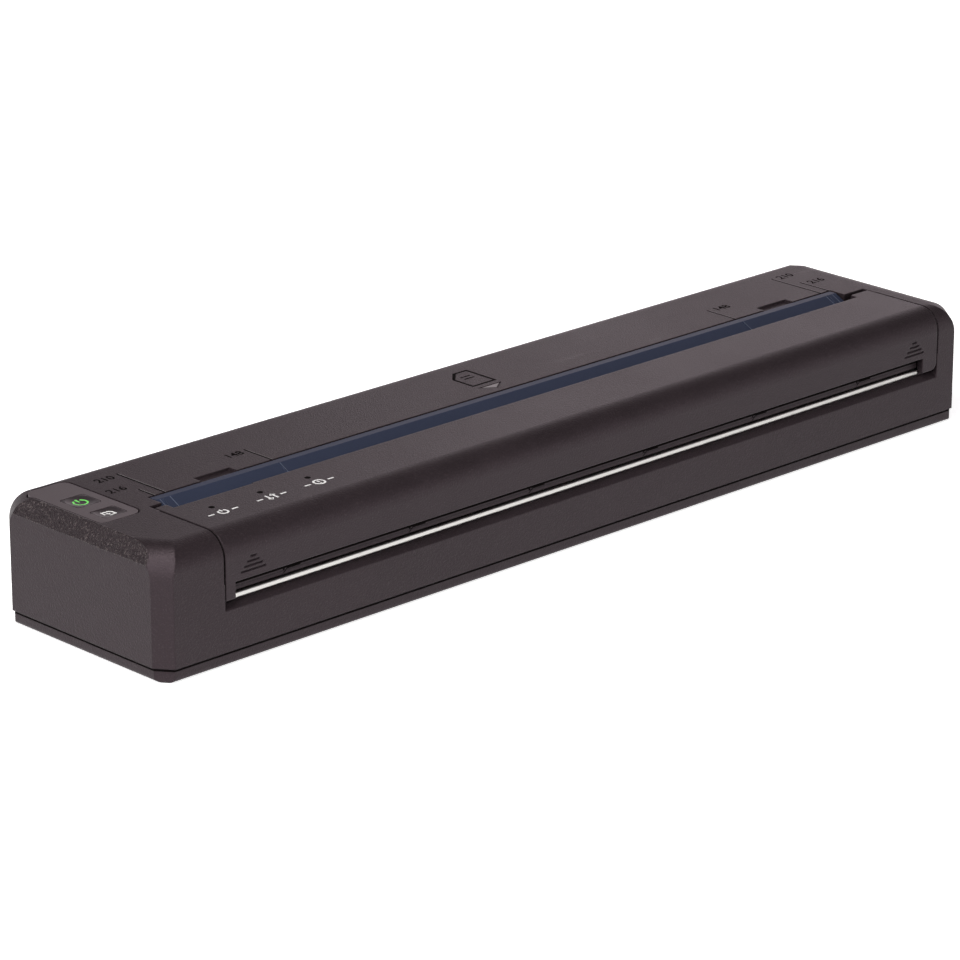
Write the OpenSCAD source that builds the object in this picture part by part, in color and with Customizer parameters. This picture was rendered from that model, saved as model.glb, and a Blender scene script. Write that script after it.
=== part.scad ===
// Portable page printer with a hinged release cover, sizes in millimetres.
// X runs along the length with the buttons at -X, the paper leaves towards -Y, +Z is up,
// and the origin lies under the middle of the case on the surface that the feet stand on.

/* [Case] */
// Overall length of the case
case_l = 255; // [250:1:262]
// Overall depth of the case
case_d = 55; // [55:1:57]
// Overall height over the feet
case_h = 30; // [30:1:32]
// Height that the rubber feet lift the case
foot_h = 0.3; // [0.2:0.1:0.6]
// Thickness of the case walls
wall = 1.8; // [1.6:0.1:2]
// Height of the lower edge of the upper case
seam_z = 3.5; // [3.4:0.1:3.8]
// Width of the shadow groove between the case halves
seam_gap = 0.4; // [0.3:0.1:0.6]
// Radius of the front and rear top edges
edge_r = 5.5; // [5:0.5:6]
// Radius of the top edge over each corner flat
corner_r = 7; // [6.6:0.1:7.4]
// Run of the corner flats along the length
corner_x = 3; // [2.5:0.1:3.5]
// Run of the corner flats along the depth
corner_y = 3.9; // [3:0.1:4.2]
// Drop of the end bands below the top
end_drop = 3.8; // [3:0.1:4.4]
// Run of the flat band at the button end
end_run = 2.5; // [2:0.1:3]
// Radius of the round band at the gear end
end_r = 7.6; // [6:0.2:9]

/* [Release cover] */
// Distance from the button end to the cover
cover_from_left = 17.4; // [16.8:0.1:17.8]
// Distance from the gear end to the cover
cover_from_right = 9.5; // [9.2:0.1:9.8]
// Depth of the cover from front face to rear edge
cover_d = 20.8; // [20.6:0.1:21]
// Height of the cover's lower front edge
cover_lip_z = 18.8; // [18.6:0.1:19.1]
// Height of the lower ends of its front lugs
lug_z = 15.1; // [15:0.1:15.4]
// Gap round the cover
cover_gap = 0.35; // [0.3:0.05:0.4]
// Distance from the front face to the cover's hinge axis
hinge_from_front = 18.9; // [18.8:0.1:19]
// Distance from the top to the cover's hinge axis
hinge_from_top = 2.8; // [2.7:0.1:2.9]
// Radius of the cover's hinge pins
cover_pin_r = 1; // [0.8:0.1:1.1]

/* [Paper path] */
// Room between the widest paper and each end of the case
end_room = 19.5; // [19.2:0.1:20]
// Offset of the paper path towards the gear end
paper_offset = 3; // [2.8:0.1:3.2]
// Slope of the paper path at the nip
path_slope = 35; // [33:1:37]
// Radius of the platen roller
roller_r = 4; // [3.8:0.1:4.1]
// Radius of the platen shaft
shaft_r = 1.5; // [1.3:0.1:1.6]
// Distance from the front face to the roller axis
roller_from_front = 11.2; // [11:0.1:11.4]
// Distance from the top to the roller axis
roller_from_top = 7.2; // [7.1:0.1:7.4]
// Thickness of the tear bar
bar_t = 1; // [0.8:0.1:1]
// Width of the tear bar
bar_w = 5.4; // [5:0.1:5.8]

/* [Gear train] */
// Tooth size of every gear
gear_module = 0.5; // [0.48:0.01:0.5]
// Teeth of the platen gear
platen_teeth = 18; // [18]
// Teeth of the idler gear
idler_teeth = 30; // [30]
// Teeth of the small reduction gear
small_teeth = 14; // [14]
// Teeth of the large reduction gear
large_teeth = 36; // [36]
// Teeth of the motor pinion
pinion_teeth = 12; // [12]
// Radius of the gear posts
post_r = 1; // [0.8:0.1:1]
// Width of each gear
gear_w = 1.8; // [1.5:0.1:2]

/* [Buttons] */
// Length of the button panel along the depth
panel_d = 26.6; // [25:0.2:27]
// Width of the button panel along the length
panel_w = 11.2; // [11:0.1:11.3]
// Travel of both buttons
button_travel = 0.5; // [0.3:0.1:0.6]

/* [Battery] */
// Distance from each end of the case to the battery pack
battery_from_end = 60.5; // [59.5:0.5:66]
// Depth of the battery pack
battery_d = 19; // [17:0.5:19]
// Height of the battery pack
battery_h = 16.4; // [14:0.2:16.6]
// Height of the battery door above its hinge line
door_h = 17.6; // [17:0.1:18]

/* [Hidden] */
$fn = 64;

// Amount that every cut runs past the material
over = 1;
// Gap between flat pieces that lie against each other
seat_gap = 0.1;
// Radial gap of everything that turns on a pin or post
run_gap = 0.04;
// Radial gap of everything that stays fixed on a pin or post
fixed_gap = 0.02;

// Case
left = -case_l / 2;
right = case_l / 2;
front = -case_d / 2;
rear = case_d / 2;
top_in = case_h - wall;
floor_z = foot_h + wall;
tray_inset = 0.5;
tray_r = 1;
tongue_t = 1.2;
tongue_h = 2.4;
tongue_gap = 0.2;

// Release cover
cover_l = left + cover_from_left;
cover_r = right - cover_from_right;
cover_rear = front + cover_d;
hinge_y = front + hinge_from_front;
hinge_z = case_h - hinge_from_top;
lug_left_w = 2.6;
lug_right_w = 5;
rear_lug_left_w = 3.1;
rear_lug_right_w = 6;
rear_lug_d = 2.1;
rear_lug_gap = 1.6;
ear_r = 2.2;
cheek_t = 1.8;
cheek_drop = 1.3;
cheek_z = cover_lip_z - cheek_drop;
cheek_from_hinge = 3.2;
flank_t = 1.8;
flank_rear = cover_rear + rear_lug_d + rear_lug_gap;
stripe_t = 0.45;
stripe_pitch = 1;
stripe_depth = 0.3;
stripe_count = 4;
stripe_rise = 1.5;
stripe_low_z = cover_lip_z + stripe_rise;
stripe_w = 7;
stripe_from_left = 7.7;
stripe_from_right = 8.3;
led_hole_r = 0.45;
led_pitch = 13.7;
led_from_left = 9.1;
led_from_hinge = 3.9;
led_count = 3;
step_d = 0.4;
step_l = 25.6;
led_y = hinge_y - led_from_hinge;

function led_x(i) = cover_l + led_from_left + i * led_pitch;

// Paper path
path_c = paper_offset;
paper_w = case_l - 2 * end_room;
roller_y = front + roller_from_front;
roller_z = case_h - roller_from_top;
guide_extra_l = 1.5;
guide_l = path_c - paper_w / 2 - guide_extra_l;
guide_r = path_c + paper_w / 2;
guide_gap = 0.4;
guide_from_cover = 8.1;
guide_rear = cover_rear + guide_from_cover;
guide_land = 1.9;
guide_t = 1.3;
guide_drop = 0.1;
guide_step = 1.9;
guide_flange_d = 3.4;
guide_flange_t = 1.1;
guide_mark_w = 0.3;
guide_mark_h = 0.1;
bevel = 1.3;
ledge_drop = 4.7;
bevel_z = cover_lip_z - ledge_drop - bevel;
ledge_z = bevel_z + bevel;
ledge_t = 1.4;
ledge_step = 0.6;
bar_front_in = 1.2;
bar_z = ledge_z + ledge_step + seat_gap;
liner_t = 1.6;
liner_drop = 1.9;
liner_rise = 2.8;
liner_z = cover_lip_z - liner_drop;
liner_top_z = cover_lip_z + liner_rise;
liner_rib_count = 6;
liner_rib_w = 1;
liner_rib_d = 0.5;
liner_rib_l = 13;
liner_nose_gap = 0.7;
liner_end_gap = 0.2;
bar_end_gap = 0.4;
frame_arm_d = 1.2;
sweep_gap = 0.45;
tip_gap = 0.9;
pipe_sink = 0.05;

// Point a along the paper path and b away from the head, seen from the roller's axis
function in_path(a, b) = [roller_y + a * cos(path_slope) - b * sin(path_slope),
    roller_z + a * sin(path_slope) + b * cos(path_slope)];

function off_hinge(r, angle) = [hinge_y + r * cos(angle), hinge_z + r * sin(angle)];

// Width marks on the case top
a5_inset = 33.6;
a4_inset = 3;
recess_inset = 18.3;
letter_half = paper_w / 2;
a5_half = letter_half - a5_inset;
a4_half = letter_half - a4_inset;
mark_w = 0.35;
mark_depth = 0.25;
a4_mark_l = 16.5;
a5_mark_l = 9.4;
letter_mark_l = 5.4;
letter_mark_right_l = 9.6;
recess_half = letter_half - recess_inset;
recess_w = 10.3;
recess_d = 2.5;
recess_depth = 0.6;
recess_left_x = path_c - recess_half;
recess_right_x = path_c + recess_half;
icon_x = -0.6;
icon_from_rear = 14.5;
icon_y = rear - icon_from_rear;
icon_w = 7.6;
icon_l = 10.2;
icon_fold = 3.2;
icon_line_w = 0.55;
icon_arrow_gap = 1.6;
icon_arrow_l = 2.7;

// Platen
bush_r = 2.6;
shaft_gap = 0.4;
rubber_l = paper_w;

// Thermal head
nip_gap = 0.08;
ceramic_t = 1;
ceramic_down = 3.2;
ceramic_up = 5.2;
sink_t = 3.4;
sink_down = 4.2;
sink_up = 5.6;
driver_t = 0.9;
driver_w = 2.2;
head_end_gap = 1;
head_l = paper_w - 2 * head_end_gap;
rod_r = 1;
rod_up = 4.2;
rod_below = 1.7;
rod_lug_r = 2;
rod_lug_w = 4;
rod_lug_in = 5;
spring_count = 4;
spring_in = 17;
spring_pitch = (head_l - 2 * spring_in) / (spring_count - 1);
spring_from_front = 15.5;
spring_rise = 5.6;
spring_l = 4.6;
spring_seat_z = floor_z + spring_rise;
spring_top_z = spring_seat_z + spring_l;
spring_r = 2;
spring_wire = 0.6;
spring_clear = 0.3;
spring_pad_r = 2.3;
spigot_h = 1.6;
head_x0 = path_c - head_l / 2;
head_x1 = path_c + head_l / 2;
rod_place = in_path(rod_up, -roller_r - nip_gap - ceramic_t - sink_t - rod_below);
spring_y = front + spring_from_front;

function spring_x(i) = path_c + (i - (spring_count - 1) / 2) * spring_pitch;

// Points of the paper guide, from its top edge along the slope and round the cover's sweep
guide_top = case_h - guide_drop;
lip_sweep = norm([cover_rear - hinge_y, hinge_from_top]) + sweep_gap;
slope_top = [guide_rear - guide_land, guide_top];
slope_end = [slope_top[0] - 2 * guide_step, guide_top - guide_step];
turn_top = off_hinge(lip_sweep, -8);
turn_end = off_hinge(lip_sweep, -28);
guide_tip = in_path(sink_up + tip_gap, -roller_r + driver_t / 3);

// Gear train and motor
plate_t = 1.2;
plate_air = 0.6;
rubber_air = 0.2;
plate_x = path_c + rubber_l / 2 + rubber_air;
layer_gap = 0.4;
inner_layer_x = plate_x + plate_t + plate_air;
outer_layer_x = inner_layer_x + gear_w + layer_gap;
outer_end_x = outer_layer_x + gear_w;
bush_l_x = cover_l + cover_gap;
right_cheek_x = inner_layer_x + seat_gap;
reduction_angle = 10;
motor_angle = 0;
leave_y = (roller_z - hinge_z);
leave_z = -(roller_y - hinge_y);
leave_l = sqrt(leave_y * leave_y + leave_z * leave_z);
idler_dist = pitch_r(platen_teeth) + pitch_r(idler_teeth);
idler_y = roller_y - leave_y / leave_l * idler_dist;
idler_z = roller_z - leave_z / leave_l * idler_dist;
reduction_dist = pitch_r(idler_teeth) + pitch_r(small_teeth);
reduction_y = idler_y + reduction_dist * cos(reduction_angle);
reduction_z = idler_z + reduction_dist * sin(reduction_angle);
motor_dist = pitch_r(large_teeth) + pitch_r(pinion_teeth);
motor_y = reduction_y + motor_dist * cos(motor_angle);
motor_z = reduction_z + motor_dist * sin(motor_angle);
motor_r = 8.4;
motor_l = 24;
motor_wall = 1.2;
motor_boss_r = 2.8;
motor_air = 0.4;
motor_shaft_r = 1;
addendum_share = 0.8;
dedendum_share = 1.1;
backlash = 0.1;
pressure_angle = 20;
post_shoulder_r = 1.4;
clip_t = 0.4;
clip_r = 1.9;
foot_plate_w = 7;
gear_plate_front = 5.5;
frame_screw_pitch = 8.6;
arm_half = 3.9;
frame_from_front = 8.5;
frame_front = front + frame_from_front;
frame_over_rod = 0.3;
frame_low_z = rod_place[1] + frame_over_rod;
frame_round_motor = 7;
frame_over_motor = 8;
frame_rear = motor_y + frame_round_motor;
frame_top_z = motor_z + frame_over_motor;
left_frame_in = 2.8;
left_frame_x = cover_l + left_frame_in;
left_frame_d = 22.2;
left_frame_rear = frame_front + left_frame_d;
frame_base_z = floor_z + plate_t;
frame_boss_r = 2.4;
left_foot_x = left_frame_x - foot_plate_w;
right_foot_x = plate_x - foot_plate_w;
frame_screw_front = frame_front + gear_plate_front + frame_boss_r;
frame_screw_rear = frame_screw_front + frame_screw_pitch;
frame_screw_places = [for (x = [left_foot_x, right_foot_x], y = [frame_screw_front, frame_screw_rear])
    [x + foot_plate_w / 2, y]];

function pitch_r(teeth) = gear_module * teeth / 2;

function involute(a) = tan(a) * 180 / PI - a;

// Half the angle of a tooth at radius r
function tooth_half(teeth, r) = let (pr = pitch_r(teeth), base = pr * cos(pressure_angle))
    (90 / teeth - backlash / pr * 90 / PI) + involute(pressure_angle)
    - (r > base ? involute(acos(base / r)) : 0);

// Phase of a follower in mesh, seen along the line of centres at the given angle
function mesh_phase(teeth_a, phase_a, teeth_b, line) =
    let (share = (line - phase_a) * teeth_a / 360) line + 180 - (0.5 - share) * 360 / teeth_b;

idler_line = atan2(idler_z - roller_z, idler_y - roller_y);
idler_phase = mesh_phase(platen_teeth, 0, idler_teeth, idler_line);
small_phase = mesh_phase(idler_teeth, idler_phase, small_teeth, reduction_angle);
pinion_phase = mesh_phase(large_teeth, 0, pinion_teeth, motor_angle);

// Buttons and their board
panel_t = 1;
panel_gap = 0.35;
panel_r = 2.4;
panel_from_rear = 5.1;
panel_rear = rear - panel_from_rear;
panel_front = panel_rear - panel_d;
panel_from_band = 0.7;
panel_l = left + end_run + panel_from_band;
panel_sink = 0.05;
button_w = 6.4;
button_in = 5.7;
button_c = panel_l + button_in;
power_d = 6.4;
power_in = 12.4;
power_y = panel_rear - power_in;
feed_d = 4.9;
feed_in = 21.8;
feed_y = panel_rear - feed_in;
button_gap = 0.15;
button_r = 0.7;
button_sink = 0.05;
button_dish_r = 16;
button_dish = 0.35;
button_flange = 0.6;
button_flange_t = 0.6;
button_stem_r = 1.2;
button_stem_drop = 4;
button_stem_z = case_h - button_stem_drop;
switch_w = 4.5;
switch_h = 1.4;
switch_pin_r = 1;
switch_pin_h = 0.4;
switch_clear = 0.15;
board_t = 1;
switch_pin_z = button_stem_z - button_travel - switch_clear;
switch_z = switch_pin_z - switch_pin_h - switch_h;
button_board_w = 9;
button_board_over = 3.6;
button_board_front = feed_y - button_board_over;
button_board_rear = power_y + 2 * button_board_over;
board_post_r = 1.1;

// Boards
main_board_rise = 2.2;
main_board_z = floor_z + main_board_rise;
main_board_t = 1.6;
board_top_z = main_board_z + main_board_t;
board_front_gap = 0.5;
main_front = frame_front + board_front_gap;
main_d = 22.2;
main_rear = main_front + main_d;
board_left_gap = 2.1;
board_motor_gap = 5;
main_l = left_frame_x + plate_t + board_left_gap;
main_r = plate_x - motor_l - board_motor_gap;
socket_block_in = 12.9;
socket_block_w = 34.6;
socket_block_from_rear = 3.5;
socket_block_l = left + socket_block_in;
socket_block_r = socket_block_l + socket_block_w;
socket_block_rear = rear - socket_block_from_rear;
board_boss_r = 2.2;
rest_in = 3.6;
rest_share = 0.3;
board_rest_places = [[main_l + rest_in, main_front + rest_in], [main_r - rest_in, main_rear - rest_in],
    [socket_block_l + rest_in, socket_block_rear - rest_in], [socket_block_r - rest_in, main_rear + rest_in],
    [main_l + rest_share * (main_r - main_l), main_front + rest_in], [main_r - main_d, main_front + rest_in]];
jack_in = 10.6;
jack_x = socket_block_l + jack_in;
jack_w = 9;
jack_h = 11;
jack_d = 12;
jack_bore_r = 2.8;
jack_pin_r = 0.9;
jack_window_r = 3.6;
usb_from_jack = 14;
usb_x = jack_x + usb_from_jack;
usb_w = 9;
usb_h = 3.3;
usb_d = 7.6;
usb_shell = 0.4;
usb_tongue = 0.7;
usb_window = 0.7;
socket_mouth_in = 0.9;
status_margin = 3;
status_d = 4;
status_t = 0.8;
led_h = 0.6;
ribbon_from_rod = 3.4;
ribbon_y = rod_place[0] + ribbon_from_rod;
ribbon_w = 24;
ribbon_l = path_c - rod_lug_w - ribbon_w;
ribbon_t = 0.3;
plug_h = 2;
ribbon_bend = 0.5;
ribbon_low_z = board_top_z + plug_h;
ribbon_bend_z = rod_place[1] - ribbon_bend;
plug_d = 3;
board_hole_gap = 0.5;
sensor_w = 6;
sensor_d = 3;
sensor_h = 2.2;
jack_z = board_top_z + jack_h / 2;
usb_z = board_top_z + usb_h / 2;

// Battery
battery_gap = 0.4;
battery_l = case_l - 2 * battery_from_end;
door_rib_t = 1;
battery_rear_gap = 0.3;
battery_front = rear - wall - door_rib_t - battery_rear_gap - battery_d;
rest_rise = 2.4;
battery_rest_z = floor_z + rest_rise;
battery_r = 2.5;
battery_rear = battery_front + battery_d;
battery_top_z = battery_rest_z + battery_h;
rest_rib_t = 1.2;
label_l = 62;
label_d = 20;
label_t = 0.2;
label_y = 8;
label_sink = 0.3;
rest_rib_count = 4;
terminal_t = 2.2;
terminal_h = 9;
terminal_d = 12;
blade_count = 4;
blade_t = 0.5;
door_margin = 3;
door_l = battery_l + 2 * door_margin;
door_gap = 0.3;
door_half = door_l / 2;
door_clear_half = door_half + door_gap;
door_barrel_r = 1.3;
door_hinge_y = rear - door_barrel_r;
door_hinge_z = seam_z + door_gap + door_barrel_r;
door_top_z = door_hinge_z + door_h;
door_pin_r = 0.6;
door_pin_l = 6;
door_lug_w = 4;
door_lug_h = 4.4;
door_notch_r = 4.5;
door_notch_d = 1.2;
door_grip_count = 3;

// Feet and screws
foot_w = 18;
foot_d = 6;
foot_r = 2.7;
foot_in_x = 14;
foot_in_y = 6.5;
foot_seat = 0.4;
foot_x = right - foot_in_x - foot_w / 2;
foot_y = rear - foot_in_y - foot_d / 2;
screw_r = 1.2;
screw_head_r = 2.1;
screw_head_h = 1.4;
screw_l = 8;
head_clear = 0.25;
boss_r = 2.8;
ledge_boss_r = 2.2;
ledge_screw_l = 6.4;
tray_boss_r = 3;
boss_rise = 2.8;
boss_z = floor_z + boss_rise;
boss_rest_gap = 0.15;
sink_h = 2.7;
left_screw_in = 8;
right_screw_in = 6.2;
screw_from_edge = 7.5;
screw_by_door = 5.6;
ledge_screw_x = 60;
ledge_screw_y = 5.8;
front_screw_y = front + screw_from_edge;
rear_screw_y = rear - screw_from_edge;
wall_places = [[left + left_screw_in, front_screw_y], [left + left_screw_in, rear_screw_y],
    [right - right_screw_in, front_screw_y], [right - right_screw_in, rear_screw_y],
    [-door_half - screw_by_door, rear_screw_y], [door_half + screw_by_door, rear_screw_y]];
ledge_places = [[-ledge_screw_x, front + ledge_screw_y], [ledge_screw_x, front + ledge_screw_y]];
frame_screw_h = 3.2;
frame_screw_head_r = 1.9;
frame_screw_head_h = 0.9;
body_color = [0.27, 0.25, 0.25];
cover_color = [0.33, 0.31, 0.31];
dark_color = [0.12, 0.11, 0.11];
navy_color = [0.17, 0.2, 0.3];
steel_color = [0.75, 0.75, 0.73];
board_color = [0.1, 0.35, 0.2];
gear_color = [0.88, 0.88, 0.84];
brass_color = [0.78, 0.6, 0.3];

// Side view drawn in Y and Z, drawn out along X
module along_x(x0, x1) {
    translate([x0, 0, 0])
        rotate([90, 0, 90])
            linear_extrude(x1 - x0)
                children();
}

// Front view drawn in X and Z, drawn out along Y
module along_y(y0, y1) {
    translate([0, y1, 0])
        rotate([90, 0, 0])
            linear_extrude(y1 - y0)
                children();
}

// Plan view drawn in X and Y, drawn out along Z
module along_z(z0, z1) {
    translate([0, 0, z0])
        linear_extrude(z1 - z0)
            children();
}

module box(low, high) {
    translate(low)
        cube(high - low);
}

module rod_x(y, z, x0, x1, r) {
    translate([x0, y, z])
        rotate([0, 90, 0])
            cylinder(r = r, h = x1 - x0);
}

module rod_y(x, z, y0, y1, r) {
    translate([x, y1, z])
        rotate([90, 0, 0])
            cylinder(r = r, h = y1 - y0);
}

module rod_z(x, y, z0, z1, r) {
    translate([x, y, z0])
        cylinder(r = r, h = z1 - z0);
}

// Rectangle with round corners from one corner to the other
module round_rect(x0, y0, x1, y1, r) {
    translate([x0 + r, y0])
        square([x1 - x0 - 2 * r, y1 - y0]);
    translate([x0, y0 + r])
        square([x1 - x0, y1 - y0 - 2 * r]);
    for (x = [x0 + r, x1 - r], y = [y0 + r, y1 - r])
        translate([x, y])
            circle(r);
}

// Run that a flat of runs a and b keeps along a when every face moves in by inset
function inner_run(a, b, inset) = a - inset * (a + b - norm([a, b])) / b;

// Case outline from above
module case_plan(inset) {
    x = case_l / 2 - inset;
    y = case_d / 2 - inset;
    cx = inner_run(corner_x, corner_y, inset);
    cy = inner_run(corner_y, corner_x, inset);
    polygon([[-x + cx, -y], [x - cx, -y], [x, -y + cy], [x, y - cy], [x - cx, y], [-x + cx, y],
        [-x, y - cy], [-x, -y + cy]]);
}

// Outline with two round upper corners, half as wide as half_w
module arch(half_w, z0, z1, r) {
    translate([-half_w, z0])
        square([2 * half_w, z1 - z0 - r]);
    translate([-half_w + r, z0])
        square([2 * (half_w - r), z1 - z0]);
    for (side = [-1, 1])
        translate([side * (half_w - r), z1 - r])
            circle(r);
}

// Case outline from the front: a flat band at the button end, a round one at the gear end
module end_view(inset, z0) {
    x = case_l / 2 - inset;
    z = case_h - inset;
    run = inner_run(end_run, end_drop, inset);
    drop = inner_run(end_drop, end_run, inset);
    round_r = end_r - inset;
    round_c = case_h - end_r;
    round_run = sqrt(end_r * end_r - (end_r - end_drop) * (end_r - end_drop));
    round_x = case_l / 2 - round_run;
    polygon([[-x, z0], [round_x, z0], [round_x, z], [-x + run, z], [-x, z - drop]]);
    intersection() {
        translate([round_x, round_c])
            circle(round_r);
        translate([round_x - over, round_c])
            square([x - round_x + over, round_r]);
    }
    translate([round_x - over, z0])
        square([x - round_x + over, round_c - z0 + sqrt(round_r * round_r - (x - round_x) * (x - round_x))]);
}

// Long arch that rolls the top into two opposite corner flats
module corner_arch(side, reach, inset, z0) {
    rotate([0, 0, side * atan2(corner_x, corner_y)])
        along_y(-case_l, case_l)
            arch(reach, z0, case_h - inset, corner_r - inset);
}

// Outer form of the upper case, moved in by inset
module case_form(inset, z0) {
    span = norm([corner_x, corner_y]);
    reach = (right * corner_y + rear * corner_x - corner_x * corner_y) / span - inset;
    intersection() {
        along_z(z0, case_h)
            case_plan(inset);
        along_x(left, right)
            arch(case_d / 2 - inset, z0, case_h - inset, edge_r - inset);
        along_y(front, rear)
            end_view(inset, z0);
        corner_arch(-1, reach, inset, z0);
        corner_arch(1, reach, inset, z0);
    }
}

// Outer form of the lower tray, moved in by inset, with a round lower edge
module tray_form(inset, z0, z1, r) {
    x = case_l / 2 - inset;
    y = case_d / 2 - inset;
    intersection() {
        along_z(z0, z1)
            case_plan(inset);
        translate([0, 0, z1])
            mirror([0, 0, 1])
                along_x(left, right)
                    arch(y, 0, z1 - z0, r);
        translate([0, 0, z1])
            mirror([0, 0, 1])
                along_y(front, rear)
                    arch(x, 0, z1 - z0, r);
    }
}

// Space that the release cover fills, grown by gap
module cover_space(gap) {
    rear_l = rear_lug_left_w + gap;
    rear_r = rear_lug_right_w + gap;
    back_gap = gap > 0 ? rear_lug_gap : 0;
    box([cover_l - gap, front - over, cover_lip_z], [cover_r + gap, cover_rear, case_h + over]);
    box([cover_l - gap, cover_rear - over, cover_lip_z],
        [cover_l + rear_l, cover_rear + rear_lug_d + back_gap, case_h + over]);
    box([cover_r - rear_r, cover_rear - over, cover_lip_z],
        [cover_r + gap, cover_rear + rear_lug_d + back_gap, case_h + over]);
}

// Screw columns of the upper case that reach its top
module wall_columns() {
    for (p = wall_places)
        difference() {
            rod_z(p[0], p[1], boss_z + boss_rest_gap, top_in + wall / 2, boss_r);
            rod_z(p[0], p[1], boss_z - over, boss_z + screw_l, screw_r + fixed_gap);
        }
}

// Screw columns under the front ledge
module ledge_columns() {
    for (p = ledge_places)
        difference() {
            rod_z(p[0], p[1], boss_z + boss_rest_gap, ledge_z - ledge_t / 2, ledge_boss_r);
            rod_z(p[0], p[1], boss_z - over, boss_z + ledge_screw_l, screw_r + fixed_gap);
        }
}

// Screw with a flat head, its head above or below the seat
module screw(x, y, seat_z, tip_z, shank_r, head_r, head_h, head_up) {
    rod_z(x, y, min(seat_z, tip_z), max(seat_z, tip_z), shank_r);
    rod_z(x, y, head_up ? seat_z : seat_z - head_h, head_up ? seat_z + head_h : seat_z, head_r);
}

module feet_outline() {
    for (sx = [-1, 1], sy = [-1, 1])
        translate([sx * foot_x, sy * foot_y])
            round_rect(-foot_w / 2, -foot_d / 2, foot_w / 2, foot_d / 2, foot_r);
}

// Lower tray with its tongue, screw bosses and rests
module lower_case() {
    tongue_in = wall + tongue_gap;
    tongue_z = seam_z + tongue_h;
    stop_x = battery_l / 2 + battery_gap;
    door_space = door_clear_half + door_lug_w + tongue_gap;
    color(body_color)
        difference() {
            union() {
                difference() {
                    tray_form(tray_inset, foot_h, seam_z - seam_gap, tray_r);
                    along_z(floor_z, seam_z)
                        case_plan(tray_inset + wall);
                }
                difference() {
                    along_z(floor_z - over / 2, tongue_z)
                        case_plan(tongue_in);
                    along_z(floor_z - over, tongue_z + over)
                        case_plan(tongue_in + tongue_t);
                    box([-door_space, rear - wall - tongue_gap - 2 * tongue_t, seam_z - seam_gap],
                        [door_space, rear, tongue_z + over]);
                }
                for (p = concat(wall_places, ledge_places))
                    rod_z(p[0], p[1], floor_z - over / 2, boss_z, tray_boss_r);
                for (p = board_rest_places)
                    rod_z(p[0], p[1], floor_z - over / 2, main_board_z, board_boss_r);
                for (p = frame_screw_places)
                    rod_z(p[0], p[1], floor_z - over / 2, frame_base_z, frame_boss_r);
                for (i = [0:spring_count - 1]) {
                    rod_z(spring_x(i), spring_y, floor_z - over / 2, spring_seat_z, spring_pad_r);
                    rod_z(spring_x(i), spring_y, floor_z, spring_seat_z + spigot_h,
                        spring_r - spring_wire - seat_gap);
                }
                for (i = [0:rest_rib_count - 1]) {
                    x = (i - (rest_rib_count - 1) / 2) * battery_l / rest_rib_count;
                    box([x, battery_front, floor_z - over / 2],
                        [x + rest_rib_t, battery_rear, battery_rest_z - seat_gap]);
                }
                box([stop_x, battery_front, floor_z - over / 2],
                    [stop_x + rest_rib_t, battery_rear, battery_rest_z + battery_h / 2]);
            }
            for (p = concat(wall_places, ledge_places)) {
                rod_z(p[0], p[1], foot_h - over, foot_h + sink_h, screw_head_r + head_clear);
                rod_z(p[0], p[1], foot_h, boss_z + over, screw_r + head_clear);
            }
            for (p = frame_screw_places)
                rod_z(p[0], p[1], foot_h + wall / 2, frame_base_z + over, screw_r + fixed_gap);
            for (p = board_rest_places)
                rod_z(p[0], p[1], foot_h + wall / 2, main_board_z + over, screw_r + fixed_gap);
            along_z(foot_h - over, foot_h + foot_seat)
                feet_outline();
            box([-label_l / 2, label_y - label_d / 2, foot_h - over],
                [label_l / 2, label_y + label_d / 2, foot_h + label_sink]);
        }
}

// Front ledge that carries the tear bar, with the bevel under the paper slot
module front_ledge() {
    step_y = front + bar_front_in + bar_t / 2;
    end_y = front + bar_front_in + bar_w + bar_t / 2;
    step_z = ledge_z + ledge_step;
    along_x(cover_l - cover_gap - over / 2, cover_r + cover_gap + over / 2)
        polygon([[front, bevel_z - over], [front, bevel_z], [front + bevel, ledge_z], [step_y, ledge_z],
            [step_y, step_z], [end_y, step_z], [end_y + bevel / 2, step_z - ledge_t / 2],
            [end_y + bevel / 2, step_z - ledge_t], [front + wall, step_z - ledge_t],
            [front + wall, bevel_z - over]]);
}

// Inner walls beside the cover, which hold its hinge pins
module flanks() {
    low_z = ledge_z + ledge_step - ledge_t;
    intersection() {
        case_form(wall / 2, seam_z);
        union() {
            box([cover_l - cover_gap - flank_t, front, low_z], [cover_l - cover_gap, flank_rear, case_h]);
            box([cover_r + cover_gap, front, low_z], [cover_r + cover_gap + flank_t, flank_rear, case_h]);
        }
    }
}

module panel_outline(gap) {
    round_rect(panel_l - gap, panel_front - gap, panel_l + panel_w + gap, panel_rear + gap, panel_r + gap);
}

module button_outline(y, d, gap) {
    round_rect(button_c - button_w / 2 - gap, y - d / 2 - gap, button_c + button_w / 2 + gap,
        y + d / 2 + gap, button_r);
}

// Engraved page with a folded corner, and the arrow of its way in
module page_symbol() {
    inner = icon_line_w;
    difference() {
        polygon([[-icon_w / 2, 0], [icon_w / 2, 0], [icon_w / 2, icon_l], [-icon_w / 2 + icon_fold, icon_l],
            [-icon_w / 2, icon_l - icon_fold]]);
        polygon([[-icon_w / 2 + inner, inner], [icon_w / 2 - inner, inner],
            [icon_w / 2 - inner, icon_l - inner], [-icon_w / 2 + icon_fold + inner, icon_l - inner],
            [-icon_w / 2 + inner, icon_l - icon_fold - inner]]);
    }
    polygon([[-icon_w / 2, -icon_arrow_gap], [0, -icon_arrow_gap - icon_arrow_l],
        [icon_w / 2, -icon_arrow_gap]]);
}

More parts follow.
